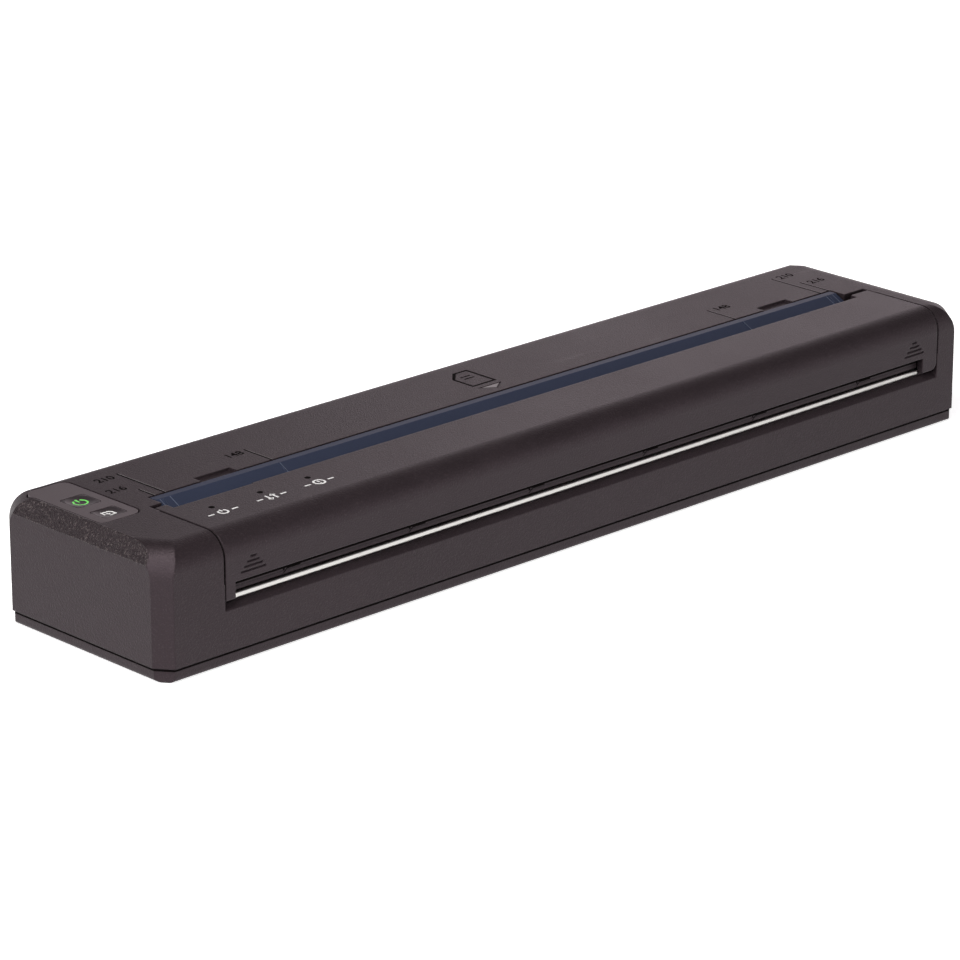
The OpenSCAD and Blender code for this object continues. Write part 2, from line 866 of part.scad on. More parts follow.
// Engraved paper width marks and the page symbol
module top_marks() {
    y0 = guide_rear + guide_gap - over;
    marks = [[path_c - a4_half, a4_mark_l], [path_c + a4_half, a4_mark_l], [path_c - a5_half, a5_mark_l],
        [path_c + a5_half, a5_mark_l], [path_c - letter_half, letter_mark_l],
        [path_c + letter_half, letter_mark_right_l]];
    for (m = marks)
        box([m[0] - mark_w / 2, y0, case_h - mark_depth],
            [m[0] + mark_w / 2, y0 + over + m[1], case_h + over]);
    for (x = [recess_left_x, recess_right_x])
        box([x - recess_w / 2, y0, case_h - recess_depth],
            [x + recess_w / 2, y0 + over + recess_d, case_h + over]);
    along_z(case_h - mark_depth, case_h + over)
        translate([icon_x, icon_y - icon_l / 2])
            page_symbol();
}

// Upper shell with the cover's opening, flanks, ledge and screw columns
module upper_case() {
    mid_y = (power_y - power_d / 2 + feed_y + feed_d / 2) / 2;
    window_z = usb_h / 2 + usb_window;
    window_x = usb_w / 2 + usb_window;
    color(body_color)
        difference() {
            union() {
                difference() {
                    case_form(0, seam_z);
                    case_form(wall, seam_z - over);
                    cover_space(cover_gap);
                    box([cover_l - cover_gap, front - over, bevel_z],
                        [cover_r + cover_gap, front + wall + over, cover_lip_z + over]);
                }
                front_ledge();
                flanks();
                wall_columns();
                ledge_columns();
                for (side = [-1, 1])
                    box([side > 0 ? door_clear_half : -door_clear_half - door_lug_w,
                        rear - 2 * door_barrel_r - seat_gap, seam_z],
                        [side > 0 ? door_clear_half + door_lug_w : -door_clear_half, rear - wall / 2,
                        seam_z + door_lug_h]);
                for (y = [mid_y, button_board_rear - board_post_r])
                    rod_z(button_c, y, switch_z + seat_gap, top_in + wall / 4, board_post_r);
            }
            box([guide_l - guide_gap, cover_rear - over, top_in - over],
                [guide_r + guide_gap, guide_rear + guide_gap, case_h + over]);
            box([guide_r, cover_rear - over, top_in - over],
                [cover_r - rear_lug_right_w, cover_rear + rear_lug_d + rear_lug_gap, case_h + over]);
            box([-door_clear_half, rear - 2 * wall, seam_z - over],
                [door_clear_half, rear + over, door_top_z + door_gap]);
            rod_y(0, door_top_z, rear - door_notch_d, rear + over, door_notch_r);
            rod_x(door_hinge_y, door_hinge_z, -door_clear_half - door_lug_w - over,
                door_clear_half + door_lug_w + over, door_pin_r + fixed_gap);
            rod_x(hinge_y, hinge_z, cover_l - cover_gap - flank_t - over, cover_l, cover_pin_r + fixed_gap);
            rod_x(hinge_y, hinge_z, cover_r, cover_r + cover_gap + flank_t + over, cover_pin_r + fixed_gap);
            rod_y(jack_x, jack_z, rear - 2 * wall, rear + over, jack_window_r);
            along_y(rear - 2 * wall, rear + over)
                translate([usb_x, usb_z])
                    round_rect(-window_x, -window_z, window_x, window_z, window_z - seat_gap);
            along_z(case_h - panel_sink - panel_t, case_h + over)
                panel_outline(panel_gap);
            along_z(top_in - over, case_h + over) {
                button_outline(power_y, power_d, button_gap + seat_gap);
                button_outline(feed_y, feed_d, button_gap + seat_gap);
            }
            top_marks();
        }
}

// Side view of a bearing cheek of the cover
module cheek_view() {
    cheek_rear = hinge_y - cheek_from_hinge;
    translate([front, cheek_z])
        square([cheek_rear - front, case_h - cheek_z]);
}

module ear_view() {
    translate([hinge_y, hinge_z])
        circle(ear_r);
    translate([hinge_y - ear_r, hinge_z])
        square([2 * ear_r, top_in + wall / 2 - hinge_z]);
}

// Triangle of short grooves that marks where the cover is lifted
module lift_stripes(x) {
    for (i = [0:stripe_count - 1]) {
        half = stripe_w / 2 * (1 - i / stripe_count);
        z = stripe_low_z + i * stripe_pitch;
        box([x - half, front - over, z], [x + half, front + stripe_depth, z + stripe_t]);
    }
}

// Hinged cover with its skin, bearing cheeks and hinge ears
module release_cover() {
    corner = lug_right_w / 3;
    color(cover_color)
        difference() {
            union() {
                intersection() {
                    difference() {
                        case_form(0, seam_z);
                        case_form(wall, seam_z - over);
                    }
                    union() {
                        cover_space(0);
                        box([cover_l, front - over, lug_z],
                            [cover_l + lug_left_w, front + wall, cover_lip_z + over]);
                        box([cover_r - lug_right_w, front - over, lug_z],
                            [cover_r, front + wall, cover_lip_z + over]);
                    }
                }
                intersection() {
                    case_form(wall / 2, seam_z);
                    union() {
                        for (x = [cover_l + cover_gap, right_cheek_x])
                            along_x(x, x + cheek_t)
                                cheek_view();
                        for (x = [cover_l + cover_gap, cover_r - cover_gap - cheek_t])
                            along_x(x, x + cheek_t)
                                ear_view();
                        for (i = [0:led_count - 2])
                            rod_z(led_x(i) + led_pitch / 2, led_y, top_in - led_h, case_h, status_d / 4);
                    }
                }
            }
            for (i = [0:led_count - 1])
                rod_z(led_x(i), led_y, top_in - over, case_h + over, led_hole_r);
            rod_x(hinge_y, hinge_z, cover_l - over, cover_r + over, cover_pin_r + run_gap);
            rod_x(roller_y, roller_z, cover_l - over, right_cheek_x + cheek_t + over, bush_r + fixed_gap);
            lift_stripes(cover_l + stripe_from_left);
            lift_stripes(cover_r - stripe_from_right);
            box([cover_l + rear_lug_left_w, cover_rear - step_d, top_in - over],
                [cover_l + step_l, cover_rear + over, case_h + over]);
            difference() {
                box([cover_r - corner, front - over, lug_z - over],
                    [cover_r + over, front + 2 * wall, lug_z + corner]);
                rod_y(cover_r - corner, lug_z + corner, front - 2 * over, front + 3 * wall, corner);
            }
        }
}

// Dark inner guide of the cover above the paper slot
module cover_liner() {
    back_y = front + wall + liner_t;
    nose_y = roller_y - roller_r - liner_nose_gap;
    x0 = cover_l + lug_left_w + liner_end_gap;
    x1 = cover_r - lug_right_w - liner_end_gap;
    color(dark_color)
        difference() {
            along_x(x0, x1)
                polygon([[front + wall, liner_z], [back_y, liner_z], [nose_y, liner_z + bar_t],
                    [nose_y, liner_z + 2 * liner_t], [back_y, liner_z + 2 * liner_t], [back_y, liner_top_z],
                    [front + wall, liner_top_z]]);
            for (i = [0:liner_rib_count - 1]) {
                x = x0 + (i + 0.4) * (x1 - x0) / liner_rib_count;
                box([x, front, liner_z - over],
                    [x + liner_rib_w / 2, front + wall + liner_rib_d, cover_lip_z - liner_rib_w]);
                box([x, front, cover_lip_z - liner_rib_w], [x + liner_rib_l, front + wall + liner_rib_d,
                    cover_lip_z - liner_rib_w / 2]);
            }
        }
}

// Steel pins of the cover's hinge
module cover_pins() {
    color(steel_color) {
        rod_x(hinge_y, hinge_z, cover_l - cover_gap - flank_t, cover_l + cover_gap + cheek_t, cover_pin_r);
        rod_x(hinge_y, hinge_z, cover_r - cover_gap - cheek_t, cover_r + cover_gap + flank_t, cover_pin_r);
    }
}

// Clear pins that carry the light of the status lamps
module light_pipes() {
    color([0.9, 0.95, 0.9])
        for (i = [0:led_count - 1])
            rod_z(led_x(i), led_y, top_in - seat_gap, case_h - pipe_sink, led_hole_r - fixed_gap);
}

// Small board under the cover with the status lamps
module status_board() {
    board_z = top_in - led_h - seat_gap;
    color(board_color)
        box([led_x(0) - status_margin, led_y - status_d / 2, board_z - status_t],
            [led_x(led_count - 1) + status_margin, led_y + status_d / 2, board_z]);
    color(gear_color)
        for (i = [0:led_count - 1])
            box([led_x(i) - led_h, led_y - led_h, board_z],
                [led_x(i) + led_h, led_y + led_h, board_z + led_h - seat_gap]);
}

// Curved guide that leads the paper from the top slot to the roller
module paper_guide() {
    flange_z = top_in - seat_gap;
    color(navy_color) {
        along_x(guide_l, guide_r)
            polygon([[guide_rear, guide_top], slope_top, slope_end, turn_top, turn_end, guide_tip,
                guide_tip + guide_t * [0.6, -0.7], turn_end + guide_t * [1, -0.8],
                slope_end + guide_t * [1.2, -1.2], [guide_rear - guide_t / 2, flange_z - guide_flange_t],
                [guide_rear + guide_flange_d, flange_z - guide_flange_t],
                [guide_rear + guide_flange_d, flange_z], [guide_rear, flange_z]]);
        for (x = [path_c - letter_half + guide_mark_w, path_c - a5_half, path_c + a5_half, path_c + a4_half])
            along_x(x - guide_mark_w / 2, x + guide_mark_w / 2)
                polygon([slope_top, slope_top + [0, guide_mark_h], slope_end + [0, guide_mark_h], slope_end]);
    }
}

// Bright strip that the paper is torn against
module tear_bar() {
    y0 = front + bar_front_in;
    color(steel_color)
        along_x(cover_l + lug_left_w + bar_end_gap, cover_r - lug_right_w - bar_end_gap) {
            translate([y0 + bar_t / 2, bar_z])
                square([bar_w - bar_t / 2, bar_t]);
            translate([y0 + bar_t / 2, bar_z + bar_t / 2])
                circle(bar_t / 2);
        }
}

// Inlaid panel round the two buttons
module button_panel() {
    color([0.36, 0.34, 0.35])
        along_z(case_h - panel_sink - panel_t, case_h - panel_sink)
            difference() {
                panel_outline(0);
                button_outline(power_y, power_d, button_gap);
                button_outline(feed_y, feed_d, button_gap);
            }
}

// Dished cap with a retaining flange and a stem
module button_cap(y, d) {
    top_z = case_h - panel_sink - button_sink;
    flange_z = top_in - seat_gap - button_flange_t;
    color(body_color)
        difference() {
            union() {
                along_z(flange_z, top_z)
                    button_outline(y, d, 0);
                along_z(flange_z, flange_z + button_flange_t)
                    button_outline(y, d, button_flange);
                rod_z(button_c, y, button_stem_z, flange_z + button_flange_t, button_stem_r);
            }
            translate([button_c, y, top_z + button_dish_r - button_dish])
                sphere(button_dish_r);
        }
}

module power_button() {
    button_cap(power_y, power_d);
}

module feed_button() {
    button_cap(feed_y, feed_d);
}

// Board with the two button switches
module button_board() {
    color(board_color)
        box([button_c - button_board_w / 2, button_board_front, switch_z - board_t],
            [button_c + button_board_w / 2, button_board_rear, switch_z]);
    color(steel_color)
        for (y = [power_y, feed_y]) {
            box([button_c - switch_w / 2, y - switch_w / 2, switch_z],
                [button_c + switch_w / 2, y + switch_w / 2, switch_z + switch_h]);
            rod_z(button_c, y, switch_z + switch_h, switch_pin_z, switch_pin_r);
        }
}

module platen_shaft() {
    color(steel_color)
        rod_x(roller_y, roller_z, bush_l_x + shaft_gap, outer_end_x + clip_t, shaft_r);
}

module platen_rubber() {
    color(dark_color)
        difference() {
            rod_x(roller_y, roller_z, path_c - rubber_l / 2, path_c + rubber_l / 2, roller_r);
            rod_x(roller_y, roller_z, left, right, shaft_r + fixed_gap);
        }
}

// Bearing bushes of the roller, held in the cover and seated in the frames
module platen_bushes() {
    color(gear_color)
        for (x = [[bush_l_x, left_frame_x + plate_t + seat_gap],
                [plate_x + seat_gap, right_cheek_x + cheek_t + seat_gap]])
            difference() {
                rod_x(roller_y, roller_z, x[0], x[1], bush_r);
                rod_x(roller_y, roller_z, x[0] - over, x[1] + over, shaft_r + run_gap);
            }
}

// Outline of a gear with involute flanks and one tooth centred on the given angle
module gear_outline(teeth, phase) {
    pr = pitch_r(teeth);
    tip = pr + addendum_share * gear_module;
    root = pr - dedendum_share * gear_module;
    base = max(root, pr * cos(pressure_angle));
    steps = 4;
    radii = concat([root], [for (i = [0:steps]) base + (tip - base) * i / steps]);
    count = len(radii) - 1;
    polygon([for (k = [0:teeth - 1], side = [-1, 1], i = [0:count])
        let (r = radii[side < 0 ? i : count - i])
        let (a = phase + k * 360 / teeth + side * tooth_half(teeth, r))
        r * [cos(a), sin(a)]]);
}

module gear(y, z, x0, teeth, phase) {
    along_x(x0, x0 + gear_w)
        translate([y, z])
            gear_outline(teeth, phase);
}

module platen_gear() {
    color(gear_color)
        difference() {
            gear(roller_y, roller_z, outer_layer_x, platen_teeth, 0);
            rod_x(roller_y, roller_z, left, right, shaft_r + fixed_gap);
        }
}

module idler_gear() {
    color(gear_color)
        difference() {
            gear(idler_y, idler_z, outer_layer_x, idler_teeth, idler_phase);
            rod_x(idler_y, idler_z, left, right, post_r + run_gap);
        }
}

// Large and small gear in one piece
module reduction_gear() {
    color(gear_color)
        difference() {
            union() {
                gear(reduction_y, reduction_z, inner_layer_x, large_teeth, 0);
                gear(reduction_y, reduction_z, outer_layer_x, small_teeth, small_phase);
                rod_x(reduction_y, reduction_z, inner_layer_x + gear_w / 2, outer_layer_x + gear_w / 2,
                    pitch_r(small_teeth) - 2 * gear_module);
            }
            rod_x(reduction_y, reduction_z, left, right, post_r + run_gap);
        }
}

// Steel posts that the gears turn on
module gear_posts() {
    end_x = outer_end_x + seat_gap + clip_t + seat_gap;
    color(steel_color) {
        rod_x(idler_y, idler_z, plate_x, end_x, post_r);
        rod_x(idler_y, idler_z, plate_x + plate_t, outer_layer_x - seat_gap, post_shoulder_r);
        rod_x(reduction_y, reduction_z, plate_x, end_x, post_r);
        rod_x(reduction_y, reduction_z, plate_x + plate_t, inner_layer_x - seat_gap, post_shoulder_r);
    }
}

// Rings that keep the gears on their posts
module gear_clips() {
    x = outer_end_x + seat_gap;
    color(dark_color)
        for (p = [[idler_y, idler_z], [reduction_y, reduction_z]])
            difference() {
                rod_x(p[0], p[1], x, x + clip_t, clip_r);
                rod_x(p[0], p[1], x - over, x + clip_t + over, post_r + fixed_gap);
            }
}

module path_view() {
    translate([roller_y, roller_z])
        rotate(path_slope)
            children();
}

// Metal plate of the thermal head with its pivot lugs and spring pads
module head_heatsink() {
    top_b = -roller_r - nip_gap - ceramic_t;
    lug_b = top_b - sink_t - rod_below;
    color([0.7, 0.71, 0.72])
        difference() {
            union() {
                along_x(head_x0, head_x1)
                    path_view()
                        translate([-sink_down, top_b - sink_t])
                            square([sink_down + sink_up, sink_t]);
                for (x = [head_x0 + rod_lug_in, path_c - rod_lug_w / 2, head_x1 - rod_lug_in - rod_lug_w])
                    along_x(x, x + rod_lug_w)
                        path_view() {
                            translate([rod_up, lug_b])
                                circle(rod_lug_r);
                            translate([rod_up - rod_lug_r, lug_b])
                                square([2 * rod_lug_r, rod_below + sink_t / 2]);
                        }
                for (i = [0:spring_count - 1])
                    intersection() {
                        rod_z(spring_x(i), spring_y, spring_top_z + spring_clear, roller_z, spring_pad_r);
                        along_x(left, right)
                            path_view()
                                translate([-case_h, top_b - sink_t / 2 - case_h])
                                    square([2 * case_h, case_h]);
                    }
            }
            rod_x(rod_place[0], rod_place[1], left, right, rod_r + run_gap);
        }
}

module head_ceramic() {
    color([0.92, 0.9, 0.85])
        along_x(head_x0 + seat_gap, head_x1 - seat_gap)
            path_view()
                translate([-ceramic_down, -roller_r - nip_gap - ceramic_t])
                    square([ceramic_down + ceramic_up, ceramic_t]);
}

module head_driver_cover() {
    color(dark_color)
        along_x(head_x0 + rod_lug_w, head_x1 - rod_lug_w)
            path_view()
                translate([ceramic_up - driver_w, -roller_r - nip_gap])
                    square([driver_w, driver_t]);
}

module head_rod() {
    color(steel_color)
        rod_x(rod_place[0], rod_place[1], left_frame_x, plate_x + plate_t, rod_r);
}

// Springs that press the head against the roller
module head_springs() {
    color(steel_color)
        for (i = [0:spring_count - 1])
            difference() {
                rod_z(spring_x(i), spring_y, spring_seat_z, spring_top_z, spring_r);
                rod_z(spring_x(i), spring_y, spring_seat_z - over, spring_top_z + over,
                    spring_r - spring_wire);
            }
}

// Flat cable between the head and the main board
module head_ribbon() {
    top_point = in_path(sink_up + seat_gap, -roller_r - ceramic_t - sink_t);
    y = ribbon_y;
    color([0.8, 0.55, 0.2])
        along_x(ribbon_l, ribbon_l + ribbon_w)
            polygon([[y, ribbon_low_z], [y + ribbon_t, ribbon_low_z], [y + ribbon_t, ribbon_bend_z],
                top_point + ribbon_t * [2, 1], top_point + ribbon_t * [2, -1], [y, ribbon_bend_z]]);
}

// Seat of a bush: everything on its way out is open
module bush_seat() {
    reach = roller_r * 2;
    translate([roller_y, roller_z]) {
        circle(bush_r + seat_gap / 2);
        rotate(atan2(leave_z, leave_y))
            translate([0, -reach])
                square([reach, 2 * reach]);
    }
}

module frame_arm() {
    translate([roller_y - arm_half, frame_low_z - frame_arm_d])
        square([2 * arm_half, roller_z - frame_low_z + frame_arm_d]);
    translate([roller_y, roller_z])
        circle(arm_half);
}

// Plate that carries the motor, the gear posts and the right end of the head rod
module gear_frame() {
    color(steel_color)
        difference() {
            union() {
                along_x(plate_x, plate_x + plate_t) {
                    difference() {
                        union() {
                            translate([frame_front, frame_base_z])
                                square([frame_rear - frame_front, frame_low_z - frame_base_z]);
                            translate([rod_place[0], frame_base_z])
                                square([frame_rear - rod_place[0], frame_top_z - frame_base_z]);
                            frame_arm();
                        }
                        bush_seat();
                    }
                }
                box([right_foot_x, frame_front + gear_plate_front, frame_base_z],
                    [plate_x + plate_t / 2, frame_screw_rear + frame_boss_r, frame_base_z + plate_t]);
            }
            rod_x(rod_place[0], rod_place[1], left, right, rod_r + fixed_gap);
            rod_x(idler_y, idler_z, left, right, post_r + fixed_gap);
            rod_x(reduction_y, reduction_z, left, right, post_r + fixed_gap);
            rod_x(motor_y, motor_z, left, right, motor_boss_r + fixed_gap);
            for (p = frame_screw_places)
                rod_z(p[0], p[1], frame_base_z - over, frame_base_z + plate_t + over, screw_r + fixed_gap);
        }
}

module left_frame() {
    color(steel_color)
        difference() {
            union() {
                along_x(left_frame_x, left_frame_x + plate_t)
                    difference() {
                        union() {
                            translate([frame_front, frame_base_z])
                                square([left_frame_rear - frame_front, frame_low_z - frame_base_z]);
                            translate([rod_place[0], rod_place[1]])
                                circle(arm_half);
                            frame_arm();
                        }
                        bush_seat();
                    }
                box([left_foot_x, frame_front + gear_plate_front, frame_base_z],
                    [left_frame_x + plate_t / 2, frame_screw_rear + frame_boss_r, frame_base_z + plate_t]);
            }
            rod_x(rod_place[0], rod_place[1], left, right, rod_r + fixed_gap);
            for (p = frame_screw_places)
                rod_z(p[0], p[1], frame_base_z - over, frame_base_z + plate_t + over, screw_r + fixed_gap);
        }
}

// Motor body, open inside for the rotor
module motor_can() {
    x0 = plate_x - motor_l;
    color([0.6, 0.61, 0.63])
        difference() {
            union() {
                rod_x(motor_y, motor_z, x0, plate_x, motor_r);
                rod_x(motor_y, motor_z, plate_x - over / 2, plate_x + plate_t, motor_boss_r);
            }
            rod_x(motor_y, motor_z, x0 + motor_wall, plate_x - motor_wall, motor_r - motor_wall);
            rod_x(motor_y, motor_z, x0 - over, plate_x + plate_t + over, motor_shaft_r + run_gap);
        }
}

module motor_rotor() {
    x0 = plate_x - motor_l;
    color(steel_color) {
        rod_x(motor_y, motor_z, x0 + motor_wall / 4, inner_layer_x + gear_w + seat_gap, motor_shaft_r);
        rod_x(motor_y, motor_z, x0 + motor_wall + motor_air, plate_x - motor_wall - motor_air,
            motor_r - motor_wall - motor_air);
    }
}

module motor_pinion() {
    color(brass_color)
        difference() {
            gear(motor_y, motor_z, inner_layer_x, pinion_teeth, pinion_phase);
            rod_x(motor_y, motor_z, left, right, motor_shaft_r + fixed_gap);
        }
}

// Main board with clearance round the spring seats
module main_board() {
    color(board_color)
        along_z(main_board_z, board_top_z)
            difference() {
                polygon([[main_l, main_front], [main_r, main_front], [main_r, main_rear],
                    [socket_block_r, main_rear], [socket_block_r, socket_block_rear],
                    [socket_block_l, socket_block_rear], [socket_block_l, main_rear], [main_l, main_rear]]);
                for (i = [0:spring_count - 1])
                    translate([spring_x(i), spring_y])
                        circle(spring_pad_r + board_hole_gap);
                for (p = board_rest_places)
                    translate([p[0], p[1]])
                        circle(screw_r + fixed_gap);
            }
}

// Chips, coils and plugs: near corner and size along the board's length and depth, then height by its depth
chip_shares = [[0.19, 0.2, 0.064, 0.54, 0.06], [0.3, 0.44, 0.043, 0.45, 0.05],
    [0.655, 0.38, 0.054, 0.32, 0.05], [0.76, 0.5, 0.026, 0.27, 0.045], [0.85, 0.55, 0.032, 0.22, 0.05],
    [0.155, 0.2, 0.026, 0.22, 0.045], [0.43, 0.04, 0.129, 0.14, 0.09], [0.91, 0.08, 0.038, 0.22, 0.11],
    [0.9, 0.34, 0.026, 0.25, 0.12], [0.03, 1.35, 0.026, 0.27, 0.05], [0.09, 1.34, 0.021, 0.3, 0.1],
    [0.55, 0.4, 0.019, 0.16, 0.06]];

// Capacitors: centre along the board's length and depth, radius and height by its depth
can_shares = [[0.22, 0.87, 0.09, 0.21], [0.145, 0.7, 0.09, 0.19], [0.06, 0.7, 0.11, 0.21],
    [0.6, 0.55, 0.09, 0.15], [0.03, 1.1, 0.1, 0.2]];

// Chips, coils, capacitors and the ribbon's plug
module board_parts() {
    size = [main_r - main_l, main_d];
    color(dark_color)
        for (c = chip_shares) {
            low = [main_l + c[0] * size[0], main_front + c[1] * size[1], board_top_z];
            box(low, low + [c[2] * size[0], c[3] * size[1], c[4] * size[1]]);
        }
    color(steel_color)
        for (c = can_shares)
            rod_z(main_l + c[0] * size[0], main_front + c[1] * size[1], board_top_z,
                board_top_z + main_d * c[3], main_d * c[2]);
    color(gear_color)
        box([ribbon_l - ribbon_t, ribbon_y - plug_d / 2, board_top_z],
            [ribbon_l + ribbon_w + ribbon_t, ribbon_y + plug_d / 2, ribbon_low_z]);
}

// Socket for the mains adapter's plug
module power_jack() {
    inner_y = rear - wall - seat_gap;
    mouth_y = rear - socket_mouth_in;
    color(dark_color)
        difference() {
            union() {
                box([jack_x - jack_w / 2, inner_y - jack_d, board_top_z],
                    [jack_x + jack_w / 2, inner_y, board_top_z + jack_h]);
                rod_y(jack_x, jack_z, inner_y - over, mouth_y, jack_window_r - 2 * seat_gap);
            }
            rod_y(jack_x, jack_z, mouth_y - jack_d + wall, mouth_y + over, jack_bore_r);
        }
    color(steel_color)
        rod_y(jack_x, jack_z, mouth_y - jack_d + wall, mouth_y - wall, jack_pin_r);
}

module usb_outline(gap) {
    x = usb_w / 2 - gap;
    z = usb_h / 2 - gap;
    round_rect(-x, -z, x, z, z - seat_gap);
}

// Data socket with its tongue
module usb_socket() {
    mouth_y = rear - socket_mouth_in;
    color(steel_color)
        translate([usb_x, 0, usb_z])
            difference() {
                along_y(mouth_y - usb_d, mouth_y)
                    usb_outline(0);
                along_y(mouth_y - usb_d + usb_shell, mouth_y + over)
                    usb_outline(usb_shell);
            }
    color(dark_color)
        box([usb_x - usb_w / 3, mouth_y - usb_d + usb_shell, usb_z - usb_tongue / 2],
            [usb_x + usb_w / 3, mouth_y - usb_tongue, usb_z + usb_tongue / 2]);
}

// Optical sensor that sees the paper's leading edge
module paper_sensor() {
    z1 = top_in - guide_flange_t - 2 * seat_gap;
    color(dark_color)
        box([path_c - sensor_w / 2, guide_rear - guide_t / 2, z1 - sensor_h],
            [path_c + sensor_w / 2, guide_rear - guide_t / 2 + sensor_d, z1]);
}

module battery_pack() {
    color(dark_color)
        along_x(-battery_l / 2, battery_l / 2)
            round_rect(battery_front, battery_rest_z, battery_rear, battery_top_z, battery_r);
}

// Contact block with brass blades at the battery's end
module battery_terminals() {
    x1 = -battery_l / 2 - battery_gap;
    y = battery_front + battery_d / 2;
    color(dark_color)
        box([x1 - terminal_t, y - terminal_d / 2, floor_z], [x1, y + terminal_d / 2, floor_z + terminal_h]);
    color(brass_color)
        for (i = [0:blade_count - 1])
            translate([0, (i - (blade_count - 1) / 2) * terminal_d / blade_count, 0])
                box([x1, y - blade_t, battery_rest_z + blade_t],
                    [x1 + battery_gap - seat_gap / 2, y + blade_t, floor_z + terminal_h - blade_t]);
}

// Rear door of the battery bay with its hinge barrel and stiffening ribs
module battery_door() {
    rib_y = rear - wall - door_rib_t;
    grip_l = door_notch_r * 4;
    color(body_color)
        difference() {
            union() {
                along_x(-door_half, door_half) {
                    translate([rear - wall, door_hinge_z])
                        square([wall, door_h]);
                    translate([door_hinge_y, door_hinge_z])
                        circle(door_barrel_r);
                }
                for (z = [door_hinge_z + 2 * wall, door_top_z - 2 * wall])
                    box([-door_half + 2 * wall, rib_y, z],
                        [door_half - 2 * wall, rear - wall / 2, z + door_rib_t]);
            }
            rod_x(door_hinge_y, door_hinge_z, -door_half - over, -door_half + door_pin_l + seat_gap,
                door_pin_r + run_gap);
            rod_x(door_hinge_y, door_hinge_z, door_half - door_pin_l - seat_gap, door_half + over,
                door_pin_r + run_gap);
            for (i = [0:door_grip_count - 1])
                box([-grip_l / 2, rear - mark_depth, door_top_z - (i + 1) * wall],
                    [grip_l / 2, rear + over, door_top_z - (i + 1) * wall + mark_w * 2]);
        }
}

module door_pins() {
    end_x = door_clear_half + door_lug_w;
    color(steel_color) {
        rod_x(door_hinge_y, door_hinge_z, -end_x, -door_half + door_pin_l, door_pin_r);
        rod_x(door_hinge_y, door_hinge_z, door_half - door_pin_l, end_x, door_pin_r);
    }
}

module rubber_feet() {
    color(dark_color)
        along_z(0, foot_h + foot_seat)
            feet_outline();
}

// Screws that hold the two case halves together
module case_screws() {
    seat_z = foot_h + sink_h;
    color(steel_color) {
        for (p = wall_places)
            screw(p[0], p[1], seat_z, seat_z + screw_l, screw_r, screw_head_r, screw_head_h, false);
        for (p = ledge_places)
            screw(p[0], p[1], seat_z, seat_z + ledge_screw_l, screw_r, screw_head_r, screw_head_h, false);
    }
}

// Screws of the frames and the main board
module frame_screws() {
    color(steel_color) {
        for (p = frame_screw_places)
            screw(p[0], p[1], frame_base_z + plate_t, frame_base_z + plate_t - frame_screw_h, screw_r,
                frame_screw_head_r, frame_screw_head_h, true);
        for (p = board_rest_places)
            screw(p[0], p[1], board_top_z, board_top_z - frame_screw_h, screw_r, frame_screw_head_r,
                frame_screw_head_h, true);
    }
}

module rating_label() {
    color([0.75, 0.75, 0.75])
        box([-label_l / 2 + label_t, label_y - label_d / 2 + label_t, foot_h + label_sink - label_t],
            [label_l / 2 - label_t, label_y + label_d / 2 - label_t, foot_h + label_sink]);
}

lower_case();
upper_case();
release_cover();
cover_liner();
cover_pins();
light_pipes();
status_board();
paper_guide();
tear_bar();
button_panel();
power_button();
feed_button();
button_board();
platen_shaft();
platen_rubber();
platen_bushes();
platen_gear();
head_heatsink();
head_ceramic();
head_driver_cover();
head_rod();
head_springs();
head_ribbon();
gear_frame();
left_frame();
gear_posts();
gear_clips();
idler_gear();
reduction_gear();
motor_can();
motor_rotor();
motor_pinion();
main_board();
board_parts();
power_jack();
usb_socket();
paper_sensor();
battery_pack();
battery_terminals();
battery_door();
door_pins();
rubber_feet();
case_screws();
frame_screws();
rating_label();
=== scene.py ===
# Portable A4 printer: finishes, printed symbols, small parts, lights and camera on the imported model.
import math
import bmesh
import bpy
from mathutils import Matrix, Vector


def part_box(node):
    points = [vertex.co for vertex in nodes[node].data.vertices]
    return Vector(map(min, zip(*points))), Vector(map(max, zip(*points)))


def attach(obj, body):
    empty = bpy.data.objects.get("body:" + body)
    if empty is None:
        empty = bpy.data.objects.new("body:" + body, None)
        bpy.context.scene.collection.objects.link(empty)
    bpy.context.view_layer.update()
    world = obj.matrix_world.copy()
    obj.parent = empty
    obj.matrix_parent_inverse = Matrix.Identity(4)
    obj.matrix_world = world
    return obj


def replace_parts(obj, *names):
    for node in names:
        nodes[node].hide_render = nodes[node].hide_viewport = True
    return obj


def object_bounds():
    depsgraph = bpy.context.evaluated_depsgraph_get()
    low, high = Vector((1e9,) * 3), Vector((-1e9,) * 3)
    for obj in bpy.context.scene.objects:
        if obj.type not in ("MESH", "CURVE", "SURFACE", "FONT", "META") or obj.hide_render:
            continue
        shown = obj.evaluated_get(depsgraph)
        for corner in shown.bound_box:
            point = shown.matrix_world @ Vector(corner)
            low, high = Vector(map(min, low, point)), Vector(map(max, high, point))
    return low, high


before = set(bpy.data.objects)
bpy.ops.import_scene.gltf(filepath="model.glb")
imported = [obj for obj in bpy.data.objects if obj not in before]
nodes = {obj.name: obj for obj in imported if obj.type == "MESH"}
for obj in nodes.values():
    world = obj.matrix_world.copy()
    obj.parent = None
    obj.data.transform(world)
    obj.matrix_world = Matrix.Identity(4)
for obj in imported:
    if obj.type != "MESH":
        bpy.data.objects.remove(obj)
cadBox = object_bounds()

mm = 0.001
scene = bpy.context.scene
print("frame: %d nodes" % len(nodes))


